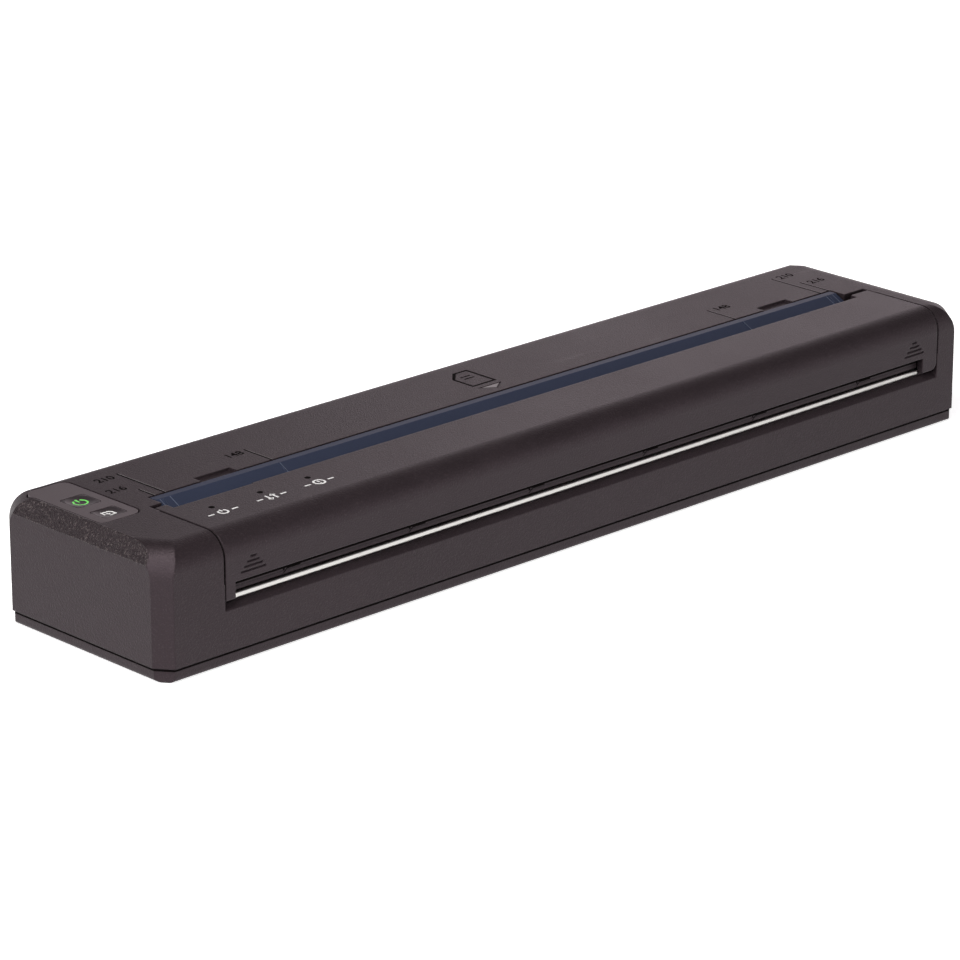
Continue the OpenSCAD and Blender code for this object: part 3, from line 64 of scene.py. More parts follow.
# Shader maths: a socket that can be used in sums
class Val:
    def __init__(self, finish, socket):
        self.finish = finish
        self.socket = socket

    def sum(self, operation, *values):
        return self.finish.node("Math", {"operation": operation}, dict(enumerate(values))).out()

    def __add__(self, other):
        return self.sum("ADD", self, other)

    def __radd__(self, other):
        return self.sum("ADD", other, self)

    def __sub__(self, other):
        return self.sum("SUBTRACT", self, other)

    def __rsub__(self, other):
        return self.sum("SUBTRACT", other, self)

    def __mul__(self, other):
        return self.sum("MULTIPLY", self, other)

    def __rmul__(self, other):
        return self.sum("MULTIPLY", other, self)

    def __truediv__(self, other):
        return self.sum("DIVIDE", self, other)

    def __lt__(self, other):
        return self.sum("LESS_THAN", self, other)

    def __gt__(self, other):
        return self.sum("GREATER_THAN", self, other)

    def clamp(self, low, high):
        return self.sum("MINIMUM", self.sum("MAXIMUM", self, low), high)

    def absolute(self):
        return self.sum("ABSOLUTE", self)

    def sine(self):
        return self.sum("SINE", self)

    def root(self):
        return self.sum("SQRT", self)

    def smooth(self, low, high):  # 0 below low, 1 above high
        step = {"interpolation_type": "SMOOTHSTEP"}
        sockets = {"Value": self, "From Min": low, "From Max": high}
        return self.finish.node("MapRange", step, sockets).out("Result")


class Made:
    def __init__(self, finish, node):
        self.finish = finish
        self.node = node

    def out(self, name=0):
        return Val(self.finish, self.node.outputs[name])


class Finish:
    def __init__(self, name, tree=None):
        self.mat = None
        if tree is None:
            self.mat = bpy.data.materials.new(name)
            self.mat.use_nodes = True
            tree = self.mat.node_tree
        tree.nodes.clear()
        self.tree = tree

    # kind without its family, then settings, then sockets by name or number
    def node(self, kind, settings=None, sockets=None):
        family = next(k for k in ("ShaderNode", "GeometryNode", "Node") if hasattr(bpy.types, k + kind))
        made = self.tree.nodes.new(family + kind)
        for key, value in (settings or {}).items():
            if key == "stops":
                ramp = made.color_ramp.elements
                while len(ramp) < len(value):
                    ramp.new(0.5)
                for stop, (place, color) in zip(ramp, value):
                    stop.position = place
                    stop.color = (*color, 1)
            else:
                setattr(made, key, value)
        for key, value in (sockets or {}).items():
            if isinstance(value, Val):
                self.tree.links.new(value.socket, made.inputs[key])
            elif isinstance(value, tuple) and made.inputs[key].type == "RGBA":
                made.inputs[key].default_value = (*value, 1)
            else:
                made.inputs[key].default_value = value
        return Made(self, made)

    def place(self):
        return self.node("TexCoord").out("Object")

    def axes(self, place):
        split = self.node("SeparateXYZ", None, {0: place})
        return split.out("X"), split.out("Y"), split.out("Z")

    def stretched(self, place, scale):
        return self.node("Mapping", None, {"Vector": place, "Scale": scale}).out()

    def noise(self, place, scale, detail=3, roughness=0.55):
        sockets = {"Vector": place, "Scale": scale, "Detail": detail, "Roughness": roughness}
        return self.node("TexNoise", None, sockets).out("Fac")

    def cells(self, place, scale):
        return self.node("TexVoronoi", None, {"Vector": place, "Scale": scale}).out("Distance")

    def tint(self, value, stops):
        return self.node("ValToRGB", {"stops": stops}, {"Fac": value}).out("Color")

    # colours are inputs 6 and 7 of a colour Mix node
    def blend(self, share, first, second):
        mix = self.node("Mix", {"data_type": "RGBA"})
        for key, value in ((0, share), (6, first), (7, second)):
            if isinstance(value, Val):
                self.tree.links.new(value.socket, mix.node.inputs[key])
            else:
                mix.node.inputs[key].default_value = (*value, 1) if key else value
        return mix.out(2)

    # softEdge rounds the look of sharp edges by that radius
    def bump(self, height, depth, softEdge=0.0):
        sockets = {"Height": height, "Distance": depth}
        if softEdge:
            sockets["Normal"] = self.node("Bevel", {"samples": 6}, {"Radius": softEdge}).out()
        return self.node("Bump", None, sockets).out()

    def surface(self, **sockets):
        named = {key.replace("_", " "): value for key, value in sockets.items()}
        shader = self.node("BsdfPrincipled", None, named).out()
        self.node("OutputMaterial", None, {"Surface": shader})
        return self.mat


# Darker and lighter stop of one colour
def shades(color, spread):
    return [(0.25, tuple(c * (1 - spread) for c in color)), (0.75, tuple(c * (1 + spread) for c in color))]


# Places that hands have rubbed smoother, drawn out along the case
rubLook = {"stretch": (1, 3.5, 3.5), "scale": 2.4, "range": (0.58, 0.8), "polish": 0.07}


# Moulded plastic with a spark-eroded grain and painted glints on it, cloudy tone and faint rubbed places
def mouldedPlastic(name, look, band=None):
    f = Finish(name)
    spot = f.place()
    grain = f.noise(spot, look["grain"], 2.5, 0.6)
    pits = f.cells(spot, look["grain"] * 0.8)
    cloud = f.noise(spot, look["cloud"], 4, 0.6)
    rub = f.noise(f.stretched(spot, rubLook["stretch"]), look["cloud"] * rubLook["scale"], 5, 0.7)
    rub = rub.smooth(*rubLook["range"])
    tone = f.tint(cloud * 0.5 + grain * 0.5, shades(look["color"], look["spread"]))
    # lighter specks where the grain is high: painted glints of the grain
    glintSpeck = grain.smooth(0.56, 0.72) * look["sparkle"]
    height = grain * 0.7 + pits * 0.3
    if band:  # the sloping flat over the button end has a coarser grain, the rolled corners beside it haven't
        x, _, z = f.axes(spot)
        sideways = f.axes(f.node("NewGeometry").out("True Normal"))[1].absolute()
        here = (x < band["x"] * mm) * (z > band["z"] * mm) * (sideways < band["turn"])
        coarse = f.noise(spot, band["grain"], 3, 0.7)
        tone = f.blend(here * band["cover"], tone, band["color"])
        # bright specks over the band's coarse grain: painted glints
        tone = f.blend(here * coarse.smooth(0.52, 0.7) * band["sparkle"], tone, band["glintColor"])
        glintSpeck = glintSpeck * (1 - here)
        height = height + here * coarse * band["rise"]
    color = f.blend(glintSpeck, tone, look["glintColor"])
    rough = look["roughness"] + (cloud - 0.5) * look["roughSpread"] - rub * rubLook["polish"]
    rough = rough + (grain - 0.5) * look["grainRough"]
    if band:
        rough = rough - here * band["polish"]
    return f.surface(Base_Color=color, Roughness=rough.clamp(0.12, 0.95), IOR=look["ior"],
                     Specular_IOR_Level=look["gloss"], Specular_Tint=look["tint"],
                     Normal=f.bump(height, look["depth"] * mm, look["softEdge"] * mm))


caseLook = {"color": (0.0172, 0.0125, 0.0142), "spread": 0.4, "grain": 3000, "cloud": 26, "sparkle": 0.6,
            "glintColor": (0.042, 0.033, 0.036), "roughness": 0.46, "roughSpread": 0.12, "grainRough": 0.25,
            "depth": 0.12, "softEdge": 0.4, "ior": 1.42, "gloss": 0.46, "tint": (1.0, 0.8, 0.9)}
bandLook = {"x": -124.8, "z": 26.0, "turn": 0.02, "grain": 2100, "sparkle": 0.8,
            "color": (0.01, 0.008, 0.008), "cover": 0.55, "glintColor": (0.12, 0.1, 0.097),
            "rise": 2.0, "polish": 0.15}
coverLook = dict(caseLook, color=(0.0192, 0.0143, 0.0162), grain=2800, depth=0.11, roughness=0.44, cloud=32)
insideLook = dict(caseLook, color=(0.014, 0.0105, 0.0115), sparkle=0.25, glintColor=(0.03, 0.025, 0.026),
                  depth=0.03, softEdge=0.15)
panelLook = dict(caseLook, color=(0.066, 0.054, 0.058), grain=4200, depth=0.02, roughness=0.42, sparkle=0.3,
                 softEdge=0.2)
keyLook = dict(panelLook, color=(0.026, 0.021, 0.023), roughness=0.34, depth=0.012, softEdge=0.3)
guideLook = dict(caseLook, color=(0.025, 0.0305, 0.054), spread=0.14, grain=5200, cloud=30, sparkle=0.3,
                 glintColor=(0.045, 0.054, 0.085), roughness=0.46, depth=0.015, softEdge=0.3, ior=1.3,
                 tint=(0.6, 0.75, 1.0))
gearLook = dict(caseLook, color=(0.62, 0.6, 0.53), spread=0.08, cloud=160, sparkle=0.2, roughness=0.38,
                glintColor=(0.75, 0.73, 0.66), depth=0.01, softEdge=0.06, gloss=0.5, tint=(1, 1, 1))


rubberLook = {"stretch": (60, 1, 1), "scale": 900, "spread": 0.25, "dustScale": 90, "dustRange": (0.5, 0.8),
              "dust": (0.12, 0.115, 0.11), "cover": 0.2, "roughness": 0.68, "depth": 0.02, "softEdge": 0.1}


# Rubber: matt, slightly dusty, with fine cross marks of its grinding
def rubber(name, color, turned):
    f = Finish(name)
    look = rubberLook
    spot = f.place()
    ground = f.noise(f.stretched(spot, look["stretch"] if turned else (1, 1, 1)), look["scale"], 3, 0.6)
    dust = f.noise(spot, look["dustScale"], 5, 0.65).smooth(*look["dustRange"])
    tone = f.tint(ground, shades(color, look["spread"]))
    return f.surface(Base_Color=f.blend(dust * look["cover"], tone, look["dust"]),
                     Roughness=(look["roughness"] + dust * 0.15 + (ground - 0.5) * 0.2).clamp(0.4, 0.95),
                     Normal=f.bump(ground, look["depth"] * mm, look["softEdge"] * mm))


# Metal with brush lines along one axis, stains and worn gloss
def brushedMetal(name, look):
    f = Finish(name)
    spot = f.place()
    line = f.noise(f.stretched(spot, look["stretch"]), look["scale"], 4, 0.7)
    stain = f.noise(spot, look["stain"], 5, 0.6)
    tone = f.tint(line * 0.6 + stain * 0.4, shades(look["color"], look["spread"]))
    rough = look["roughness"] + (line - 0.5) * look["lineRough"] + (stain - 0.5) * look["stainRough"]
    return f.surface(Base_Color=tone, Metallic=1.0, Roughness=rough.clamp(0.08, 0.8),
                     Normal=f.bump(line, look["depth"] * mm, look["softEdge"] * mm))


sheetSteel = {"color": (0.56, 0.56, 0.54), "spread": 0.1, "stretch": (1, 1, 14), "scale": 500, "stain": 70,
              "roughness": 0.34, "lineRough": 0.3, "stainRough": 0.18, "depth": 0.01, "softEdge": 0.08}
turnedSteel = dict(sheetSteel, stretch=(18, 1, 1), scale=700, roughness=0.26, color=(0.6, 0.6, 0.58))
tearSteel = dict(sheetSteel, stretch=(0.4, 14, 14), scale=420, roughness=0.3, color=(0.64, 0.635, 0.61),
                 spread=0.05, depth=0.006)
castAlloy = dict(sheetSteel, stretch=(0.6, 9, 9), scale=520, roughness=0.4, color=(0.62, 0.63, 0.64))
brassLook = dict(sheetSteel, color=(0.66, 0.47, 0.2), roughness=0.3)
motorSteel = dict(sheetSteel, stretch=(16, 1, 1), roughness=0.38, color=(0.42, 0.43, 0.44))


boardLook = {"laneLong": 0.12, "laneScaleY": 420, "laneScaleX": 460, "laneY": (0.52, 0.56),
             "laneX": (0.54, 0.58), "trackLight": 1.9, "padScale": 420, "padSize": 0.32, "padCover": 0.35,
             "tin": (0.55, 0.53, 0.47), "weave": 2600}


# Board lacquer with tracks, pads and a slight weave under it
def circuitBoard(name, color):
    f = Finish(name)
    look = boardLook
    spot = f.place()
    x, y, _ = f.axes(spot)
    laneY = f.noise(f.stretched(spot, (1, look["laneLong"], 1)), look["laneScaleY"], 1, 0.4)
    laneY = laneY.smooth(*look["laneY"])
    laneX = f.noise(f.stretched(spot, (look["laneLong"], 1, 1)), look["laneScaleX"], 1, 0.4)
    laneX = laneX.smooth(*look["laneX"])
    track = (laneY + laneX).clamp(0, 1)
    pad = (look["padSize"] - f.cells(f.stretched(spot, (1, 1, 0.01)), look["padScale"])).smooth(0, 0.05)
    weave = (x * look["weave"]).sine() * (y * look["weave"]).sine()
    base = f.tint(track, [(0, color), (1, tuple(min(1, c * look["trackLight"]) for c in color))])
    tinned = f.blend(pad * look["padCover"], base, look["tin"])
    return f.surface(Base_Color=tinned, Roughness=(0.32 + weave * 0.05 + pad * 0.1).clamp(0.15, 0.7),
                     Normal=f.bump(track * 0.8 + weave * 0.15, 0.03 * mm), Coat_Weight=0.3)


# Socket housing: black plastic or steel shell, with bare metal near the axis of its contacts
def socketFinish(name, node, look):
    f = Finish(name)
    low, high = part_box(node)
    spot = f.place()
    x, _, z = f.axes(spot)
    dx = x - (low[0] + high[0]) / 2
    dz = z - (low[2] + high[2]) / 2
    if look["pin"]:
        contact = (dx * dx + dz * dz).root() < look["pin"] * mm
    else:
        wave = (dx * (2 * math.pi / (look["pitch"] * mm))).sine()
        contact = (dz.absolute() < look["half"] * mm) * (wave > look["share"])
    fine = f.noise(spot, 1800, 3, 0.6)
    smear = f.noise(spot, 200, 4, 0.6)
    shell = f.tint(fine * 0.5 + smear * 0.5, shades(look["color"], 0.18))
    metal = contact if look["pin"] else contact.sum("MAXIMUM", contact, dz.absolute() > look["half"] * mm)
    color = f.blend(contact, shell, look["contact"])
    return f.surface(Base_Color=color, Metallic=metal,
                     Roughness=(look["roughness"] + (smear - 0.5) * 0.2 - metal * 0.1).clamp(0.15, 0.8),
                     Normal=f.bump(fine, 0.01 * mm, 0.12 * mm))


jackLook = {"pin": 1.2, "color": (0.014, 0.014, 0.015), "contact": (0.7, 0.7, 0.68), "roughness": 0.42}
usbLook = {"pin": 0, "half": 0.5, "pitch": 0.9, "share": 0.2, "color": (0.5, 0.5, 0.5),
           "contact": (0.75, 0.58, 0.25), "roughness": 0.36}

glossLook = {"cloud": 120, "fine": 3000, "cloudRough": 0.16, "fineRough": 0.08, "depth": 0.004}


# Smooth glossy material with a little cloudiness, for glass, glaze, film and foil
def glazed(name, color, roughness, metallic=0.0, spread=0.1):
    f = Finish(name)
    spot = f.place()
    cloud = f.noise(spot, glossLook["cloud"], 4, 0.6)
    fine = f.noise(spot, glossLook["fine"], 2, 0.5)
    tone = f.tint(cloud, shades(color, spread))
    rough = roughness + (cloud - 0.5) * glossLook["cloudRough"] + (fine - 0.5) * glossLook["fineRough"]
    return f.surface(Base_Color=tone, Metallic=metallic, Roughness=rough.clamp(0.05, 0.9),
                     Normal=f.bump(fine, glossLook["depth"] * mm))


inkLook = {"grain": 5200, "spread": 0.08, "roughness": 0.42, "roughSpread": 0.3, "depth": 0.004}


# Printed ink: flat colour, with a fine uneven gloss
def ink(name, color, ior=1.45):
    f = Finish(name)
    fine = f.noise(f.place(), inkLook["grain"], 3, 0.6)
    tone = f.tint(fine, shades(color, inkLook["spread"]))
    rough = inkLook["roughness"] + (fine - 0.5) * inkLook["roughSpread"]
    return f.surface(Base_Color=tone, Roughness=rough.clamp(0.2, 0.8), IOR=ior,
                     Normal=f.bump(fine, inkLook["depth"] * mm))


finishes = {
    "case": mouldedPlastic("caseGrain", caseLook, bandLook),
    "cover": mouldedPlastic("coverGrain", coverLook),
    "inside": mouldedPlastic("insideBlack", insideLook),
    "panel": mouldedPlastic("panelSatin", panelLook),
    "key": mouldedPlastic("keySatin", keyLook),
    "guide": mouldedPlastic("guideNavy", guideLook),
    "gear": mouldedPlastic("gearAcetal", gearLook),
    "sheet": brushedMetal("sheetSteel", sheetSteel),
    "turned": brushedMetal("turnedSteel", turnedSteel),
    "tear": brushedMetal("tearSteel", tearSteel),
    "alloy": brushedMetal("castAlloy", castAlloy),
    "brass": brushedMetal("brassBlades", brassLook),
    "motor": brushedMetal("motorSteel", motorSteel),
    "rubber": rubber("platenRubber", (0.02, 0.02, 0.02), True),
    "feet": rubber("feetRubber", (0.035, 0.035, 0.035), False),
    "board": circuitBoard("boardGreen", (0.018, 0.11, 0.045)),
    "ceramic": glazed("headCeramic", (0.72, 0.68, 0.56), 0.14),
    "film": glazed("ribbonFilm", (0.5, 0.23, 0.05), 0.25),
    "clear": glazed("lampPipe", (0.012, 0.014, 0.013), 0.2),
    "jack": socketFinish("jackBlack", "power_jack", jackLook),
    "usb": socketFinish("usbShell", "usb_socket", usbLook),
    "glaze": glazed("headGlaze", (0.5, 0.42, 0.28), 0.1),
    "label": glazed("labelFoil", (0.5, 0.5, 0.5), 0.34, 0.6, 0.04),
    "wrap": glazed("batteryWrap", (0.02, 0.022, 0.025), 0.42, 0.0, 0.25),
    "white": ink("whiteInk", (0.72, 0.72, 0.71)),
    "green": ink("greenInk", (0.16, 0.68, 0.12)),
    # dark ink for prints, and for painted shade in seams, grooves, wells and engravings
    "darkInkAndShade": ink("darkInkAndPaintedShade", (0.006, 0.005, 0.005), 1.02),
    # the two glint inks are painted highlights on edges
    "glint": ink("glintEdge", (0.15, 0.135, 0.14)),
    "navyGlint": ink("navyGlint", (0.09, 0.105, 0.15)),
}

nodeFinish = {
    "case": ["upper_case", "lower_case", "battery_door"],
    "cover": ["release_cover"],
    "inside": ["cover_liner", "head_driver_cover", "gear_clips", "paper_sensor", "board_parts",
               "battery_terminals"],
    "jack": ["power_jack"],
    "usb": ["usb_socket"],
    "panel": ["button_panel"],
    "key": ["power_button", "feed_button"],
    "guide": ["paper_guide"],
    "gear": ["platen_bushes", "platen_gear", "idler_gear", "reduction_gear"],
    "sheet": ["gear_frame", "left_frame"],
    "turned": ["cover_pins", "platen_shaft", "head_rod", "head_springs", "gear_posts", "door_pins",
               "case_screws", "frame_screws"],
    "tear": ["tear_bar"],
    "alloy": ["head_heatsink"],
    "brass": ["motor_pinion"],
    "motor": ["motor_can", "motor_rotor"],
    "rubber": ["platen_rubber"],
    "feet": ["rubber_feet"],
    "board": ["status_board", "button_board", "main_board"],
    "ceramic": ["head_ceramic"],
    "film": ["head_ribbon"],
    "clear": ["light_pipes"],
    "label": ["rating_label"],
    "wrap": ["battery_pack"],
}


def dress(thing, finish):
    thing.data.materials.clear()
    thing.data.materials.append(finishes[finish])


for finish, names in nodeFinish.items():
    for name in names:
        dress(nodes[name], finish)
print("finishes: %d materials" % len(finishes))


# A mesh becomes a piece of the object: its finish and the body that carries it
def addPiece(name, mesh, finish, body, smooth=False):
    thing = bpy.data.objects.new(name, mesh)
    scene.collection.objects.link(thing)
    dress(thing, finish)
    for face in mesh.polygons:
        face.use_smooth = smooth
    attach(thing, body)
    return thing


def meshOf(name, verts, faces):
    mesh = bpy.data.meshes.new(name)
    mesh.from_pydata([Vector(v) for v in verts], [], faces)
    mesh.update()
    return mesh


# Separate solids of a node, each with its lowest and highest corner
def solidsOf(node):
    form = bmesh.new()
    form.from_mesh(nodes[node].data)
    bmesh.ops.remove_doubles(form, verts=form.verts, dist=0.001 * mm)
    left, solids = set(form.verts), []
    while left:
        grow, found = [left.pop()], []
        while grow:
            vert = grow.pop()
            found.append(vert.co.copy())
            near = {edge.other_vert(vert) for edge in vert.link_edges} & left
            left -= near
            grow += near
        solids.append([Vector(pick(v[i] for v in found) for i in range(3)) for pick in (min, max)])
    form.free()
    return sorted(solids, key=lambda s: tuple(s[0]))


# Band of one width along a line of points; the corners are mitred
def stroke(points, width, closed=False):
    count = len(points)
    ends, faces = [], []
    for i, (x, y) in enumerate(points):
        normals = []
        for a, b in ((i - 1, i), (i, i + 1)):
            if closed or (a >= 0 and b < count):
                (x0, y0), (x1, y1) = points[a % count], points[b % count]
                normals.append(Vector((y0 - y1, x1 - x0)).normalized())
        side = (normals[0] + normals[-1]) / (1 + normals[0].dot(normals[-1])) * width / 2
        ends += [(x + side.x, y + side.y), (x - side.x, y - side.y)]
    for i in range(count if closed else count - 1):
        k = (i + 1) % count
        faces.append((2 * i + 1, 2 * k + 1, 2 * k, 2 * i))
    return ends, faces


def arc(radius, start, end, steps, x=0, y=0):
    angles = [math.radians(start + (end - start) * i / steps) for i in range(steps + 1)]
    return [(x + radius * math.cos(a), y + radius * math.sin(a)) for a in angles]


# Printed or engraved picture, and strokes of painted shade and highlight too: bands laid on a surface that
# place(x, y) gives in millimetres
def addPrint(name, bands, place, finish, body):
    verts, faces = [], []
    for ends, quads in bands:
        faces += [tuple(len(verts) + i for i in quad) for quad in quads]
        verts += [Vector(place(x, y)) * mm for x, y in ends]
    return addPiece(name, meshOf(name, verts, faces), finish, body)


def onFlat(x0, y0, z):
    return lambda x, y: (x0 + x, y0 + y, z)


# Plain numbers as flat outlines
def addNumber(name, text, size, place, finish, body):
    letters = bpy.data.curves.new(name, "FONT")
    letters.body = text
    letters.size = size
    letters.align_x = "CENTER"
    letters.align_y = "CENTER"
    letters.offset = widthNumbers["bold"]
    holder = bpy.data.objects.new(name + "Line", letters)
    scene.collection.objects.link(holder)
    flat = bpy.data.meshes.new_from_object(holder.evaluated_get(bpy.context.evaluated_depsgraph_get()))
    bpy.data.objects.remove(holder)
    for vert in flat.vertices:
        vert.co = Vector(place(vert.co.x, vert.co.y)) * mm
    return addPiece(name, flat, finish, body)


caseTop = cadBox[1][2] / mm
proud = 0.012  # how far prints stand off what carries them, in millimetres

# Pictures under the three lamps of the cover, white ink
lampPictures = {"firstX": -101.0, "pitch": 13.7, "lampY": -12.5, "wellShade": 0.7, "y": -16.3, "line": 0.5,
                "size": 1.3, "dash": (1.9, 3.2)}


# Standby sign, two opposite arrows and a ringed bar, each between two dashes; shares of the size
def lampRow():
    size, line = lampPictures["size"], lampPictures["line"]
    dashes = [stroke([(side * size * end, 0) for end in lampPictures["dash"]], line) for side in (-1, 1)]
    power = [stroke(arc(size * 0.85, 125, 415, 20), line), stroke([(0, size * 0.25), (0, size * 1.15)], line)]
    data = []
    for side in (-1, 1):
        x, tip, barb = side * size * 0.65, side * size, side * size * 0.45
        data.append(stroke([(x, -size), (x, size)], line))
        data.append(stroke([(x - size * 0.5, barb), (x, tip), (x + size * 0.5, barb)], line))
    state = [stroke(arc(size, 0, 342, 19), line, True), stroke([(0, -size * 0.1), (0, size * 0.6)], line),
             stroke([(0, -size * 0.6), (0, -size * 0.35)], line)]
    return [power + dashes, data + dashes, state + dashes]


for i, picture in enumerate(lampRow()):
    spotX = lampPictures["firstX"] + i * lampPictures["pitch"]
    place = onFlat(spotX, lampPictures["y"], caseTop + proud)
    addPrint("lampPicture%d" % (i + 1), picture, place, "white", "cover")
    # each lamp gets a dark disc: painted shade of its well
    wellShade = stroke(arc(lampPictures["wellShade"] / 2, 0, 342, 18), lampPictures["wellShade"], True)
    place = onFlat(spotX, lampPictures["lampY"], caseTop + proud)
    addPrint("lampWellShade%d" % (i + 1), [wellShade], place, "darkInkAndShade", "cover")

# Widths of the paper in plain numbers, beside their lines on the case top; their dark tone is painted shade
# of the engraving
widthNumbers = {"size": 3.3, "bold": 0.06,
                "marks": [("148", -75.2, 10.0), ("210", -106.2, 17.0), ("216", -108.7, 9.9),
                          ("148", 81.6, 10.3), ("210", 112.2, 17.4), ("216", 115.0, 9.6)]}
for i, (text, x, y) in enumerate(widthNumbers["marks"]):
    place = onFlat(x, y, caseTop + proud)
    addNumber("widthNumber%d" % (i + 1), text, widthNumbers["size"], place, "darkInkAndShade", "base")

# Painted shade on the floor and painted highlight on the edge of the engraved width lines, each with its
# place along the case and its length
widthLines = {"middle": 3.0, "start": 1.8, "wide": 0.5, "glint": 0.16,
              "lines": [(-105, 16.2), (105, 16.2), (-74.4, 9.1), (74.4, 9.1), (-108, 5.1), (108, 9.3)]}
shade, paintedGlints = [], []
for x, length in widthLines["lines"]:
    x += widthLines["middle"]
    y0, y1 = widthLines["start"], widthLines["start"] + length
    edge = x + (widthLines["wide"] + widthLines["glint"]) / 2
    shade.append(stroke([(x, y0), (x, y1)], widthLines["wide"]))
    paintedGlints.append(stroke([(edge, y0), (edge, y1)], widthLines["glint"]))

# Page symbol: a sheet with a folded corner and two rules, and the arrow of its way in; the sheet and rules
# are drawn with the width lines' painted shade, the arrow with their painted highlight
pageSymbol = {"x": -0.6, "y": 13.0, "wide": 7.6, "long": 10.2, "fold": 3.2, "in": 0.3, "line": 0.6,
              "arrowGap": 1.9, "arrow": 2.0, "arrowWide": 2.736}
halfW, halfL = pageSymbol["wide"] / 2 - pageSymbol["in"], pageSymbol["long"] / 2 - pageSymbol["in"]
fold = pageSymbol["fold"]
sheetEdge = [(-halfW, -halfL), (halfW, -halfL), (halfW, halfL), (-halfW + fold, halfL),
             (-halfW, halfL - fold)]
rules = [[(share * halfW, halfL * (0.35 - 0.3 * i)) for share in (-0.4, 0.5)] for i in range(2)]
symbol = [stroke(sheetEdge, pageSymbol["line"], True)]
symbol += [stroke(rule, pageSymbol["line"] * 0.8) for rule in rules]
atSymbol = onFlat(pageSymbol["x"], pageSymbol["y"], 0)
shade += [([atSymbol(*end)[:2] for end in ends], quads) for ends, quads in symbol]
arrowX, arrowW = pageSymbol["x"], pageSymbol["arrowWide"]
arrowY = pageSymbol["y"] - pageSymbol["long"] / 2 - pageSymbol["arrowGap"]
paintedGlints.append(([(arrowX - arrowW, arrowY), (arrowX, arrowY - pageSymbol["arrow"]), (arrowX + arrowW, arrowY)],
               [(0, 1, 2)]))
addPrint("widthShade", shade, onFlat(0, 0, caseTop + proud), "darkInkAndShade", "base")
addPrint("widthGlint", paintedGlints, onFlat(0, 0, caseTop + proud), "glint", "base")

# Signs on the two dished buttons
keySigns = {"dishRadius": 16, "dishDepth": 0.35, "line": 0.46, "thin": 0.85, "standby": 1.55,
            "page": (2.4, 2.0)}


def onDish(node):
    low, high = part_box(node)
    radius, depth = keySigns["dishRadius"], keySigns["dishDepth"]
    x0, y0, top = (low[0] + high[0]) / 2 / mm, (low[1] + high[1]) / 2 / mm, high[2] / mm

    def place(x, y):
        return (x0 + x, y0 + y, top - depth + radius - math.sqrt(radius ** 2 - x * x - y * y) + proud)
    return place


signR, line = keySigns["standby"], keySigns["line"]
standby = [stroke(arc(signR, 120, 420, 30), line), stroke([(0, signR * i / 4) for i in range(1, 6)], line)]
addPrint("standbySign", standby, onDish("power_button"), "green", "power_key")
px, py = keySigns["page"][0] / 2, keySigns["page"][1] / 2
thin = line * keySigns["thin"]
pageOut = [stroke([(-px, -py * 0.4), (-px, py), (0, py), (px * 0.5, py), (px, py * 0.45), (px, -py), (0, -py),
                   (-px * 0.3, -py)], line),
           stroke([(-px * 0.55, py * 0.15), (-px * 0.1, -py * 0.35), (px * 0.4, py * 0.1)], thin),
           stroke([(-px * 0.1, -py * 0.3), (-px * 0.1, py * 0.5)], thin)]
addPrint("pageSign", pageOut, onDish("feed_button"), "white", "feed_key")
print("prints: lamp pictures, width numbers, key signs")


# Closed outline in Y and Z drawn along X, with its ends drawn in to a share of it over the length of ease
def drawnBar(name, outline, x0, x1, ease, endShare):
    midY = sum(y for y, z in outline) / len(outline)
    midZ = sum(z for y, z in outline) / len(outline)
    verts, faces, count = [], [], len(outline)
    for x, shrink in ((x0, endShare), (x0 + ease, 1), (x1 - ease, 1), (x1, endShare)):
        verts += [(x, midY + (y - midY) * shrink, midZ + (z - midZ) * shrink) for y, z in outline]
    for ring in range(3):
        for i in range(count):
            k = (i + 1) % count
            a, b = ring * count, (ring + 1) * count
            faces.append((a + i, a + k, b + k, b + i))
    faces += [tuple(range(count))[::-1], tuple(range(3 * count, 4 * count))]
    return meshOf(name, verts, faces)


# Tear bar with a rolled front edge, in the place of the plain one, and a skirt that reaches a little lower
tearBar = {"roll": 0.3, "ease": 0.25, "endShare": 0.86, "steps": 6, "skirt": 0.3}
low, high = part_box("tear_bar")
low[2] -= tearBar["skirt"] * mm
rollR = (high[2] - low[2]) * tearBar["roll"]
barEdge = [(high[1], low[2])]
barEdge += reversed(arc(rollR, 180, 270, tearBar["steps"], low[1] + rollR, low[2] + rollR))
barEdge += reversed(arc(rollR, 90, 180, tearBar["steps"], low[1] + rollR, high[2] - rollR))
barEdge += [(high[1], high[2])]
barMesh = drawnBar("tearBarRolled", barEdge, low[0], high[0], tearBar["ease"] * mm, tearBar["endShare"])
bar = addPiece("tearBarRolled", barMesh, "tear", "base", True)
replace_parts(bar, "tear_bar")
barTop = high[2]
print("tear bar: rolled edge")

# Shadow along the seam, on the tray just under it; cutX and cutY are the runs of the case's corner flats
seamShade = {"cutX": 3.0, "cutY": 3.9, "inset": 0.5, "top": 3.1, "tall": 0.32}
halfX, halfY = cadBox[1][0] / mm, cadBox[1][1] / mm
cutX, cutY = seamShade["cutX"], seamShade["cutY"]
inset = seamShade["inset"] - proud
across = (halfX - cutX) * cutY + halfY * cutX - inset * math.hypot(cutX, cutY)
sideX, sideY = halfX - inset, halfY - inset
flatX, flatY = (across - sideY * cutX) / cutY, (across - sideX * cutY) / cutX
plan = [(flatX, sideY), (-flatX, sideY), (-sideX, flatY), (-sideX, -flatY),
        (-flatX, -sideY), (flatX, -sideY), (sideX, -flatY), (sideX, flatY)]
verts = [Vector((x, y, seamShade["top"] - down)) * mm for x, y in plan for down in (seamShade["tall"], 0)]
following = [(i + 1) % len(plan) for i in range(len(plan))]
faces = [(2 * i, 2 * k, 2 * k + 1, 2 * i + 1) for i, k in enumerate(following)]
addPiece("seamShade", meshOf("seamShade", verts, faces), "darkInkAndShade", "base")
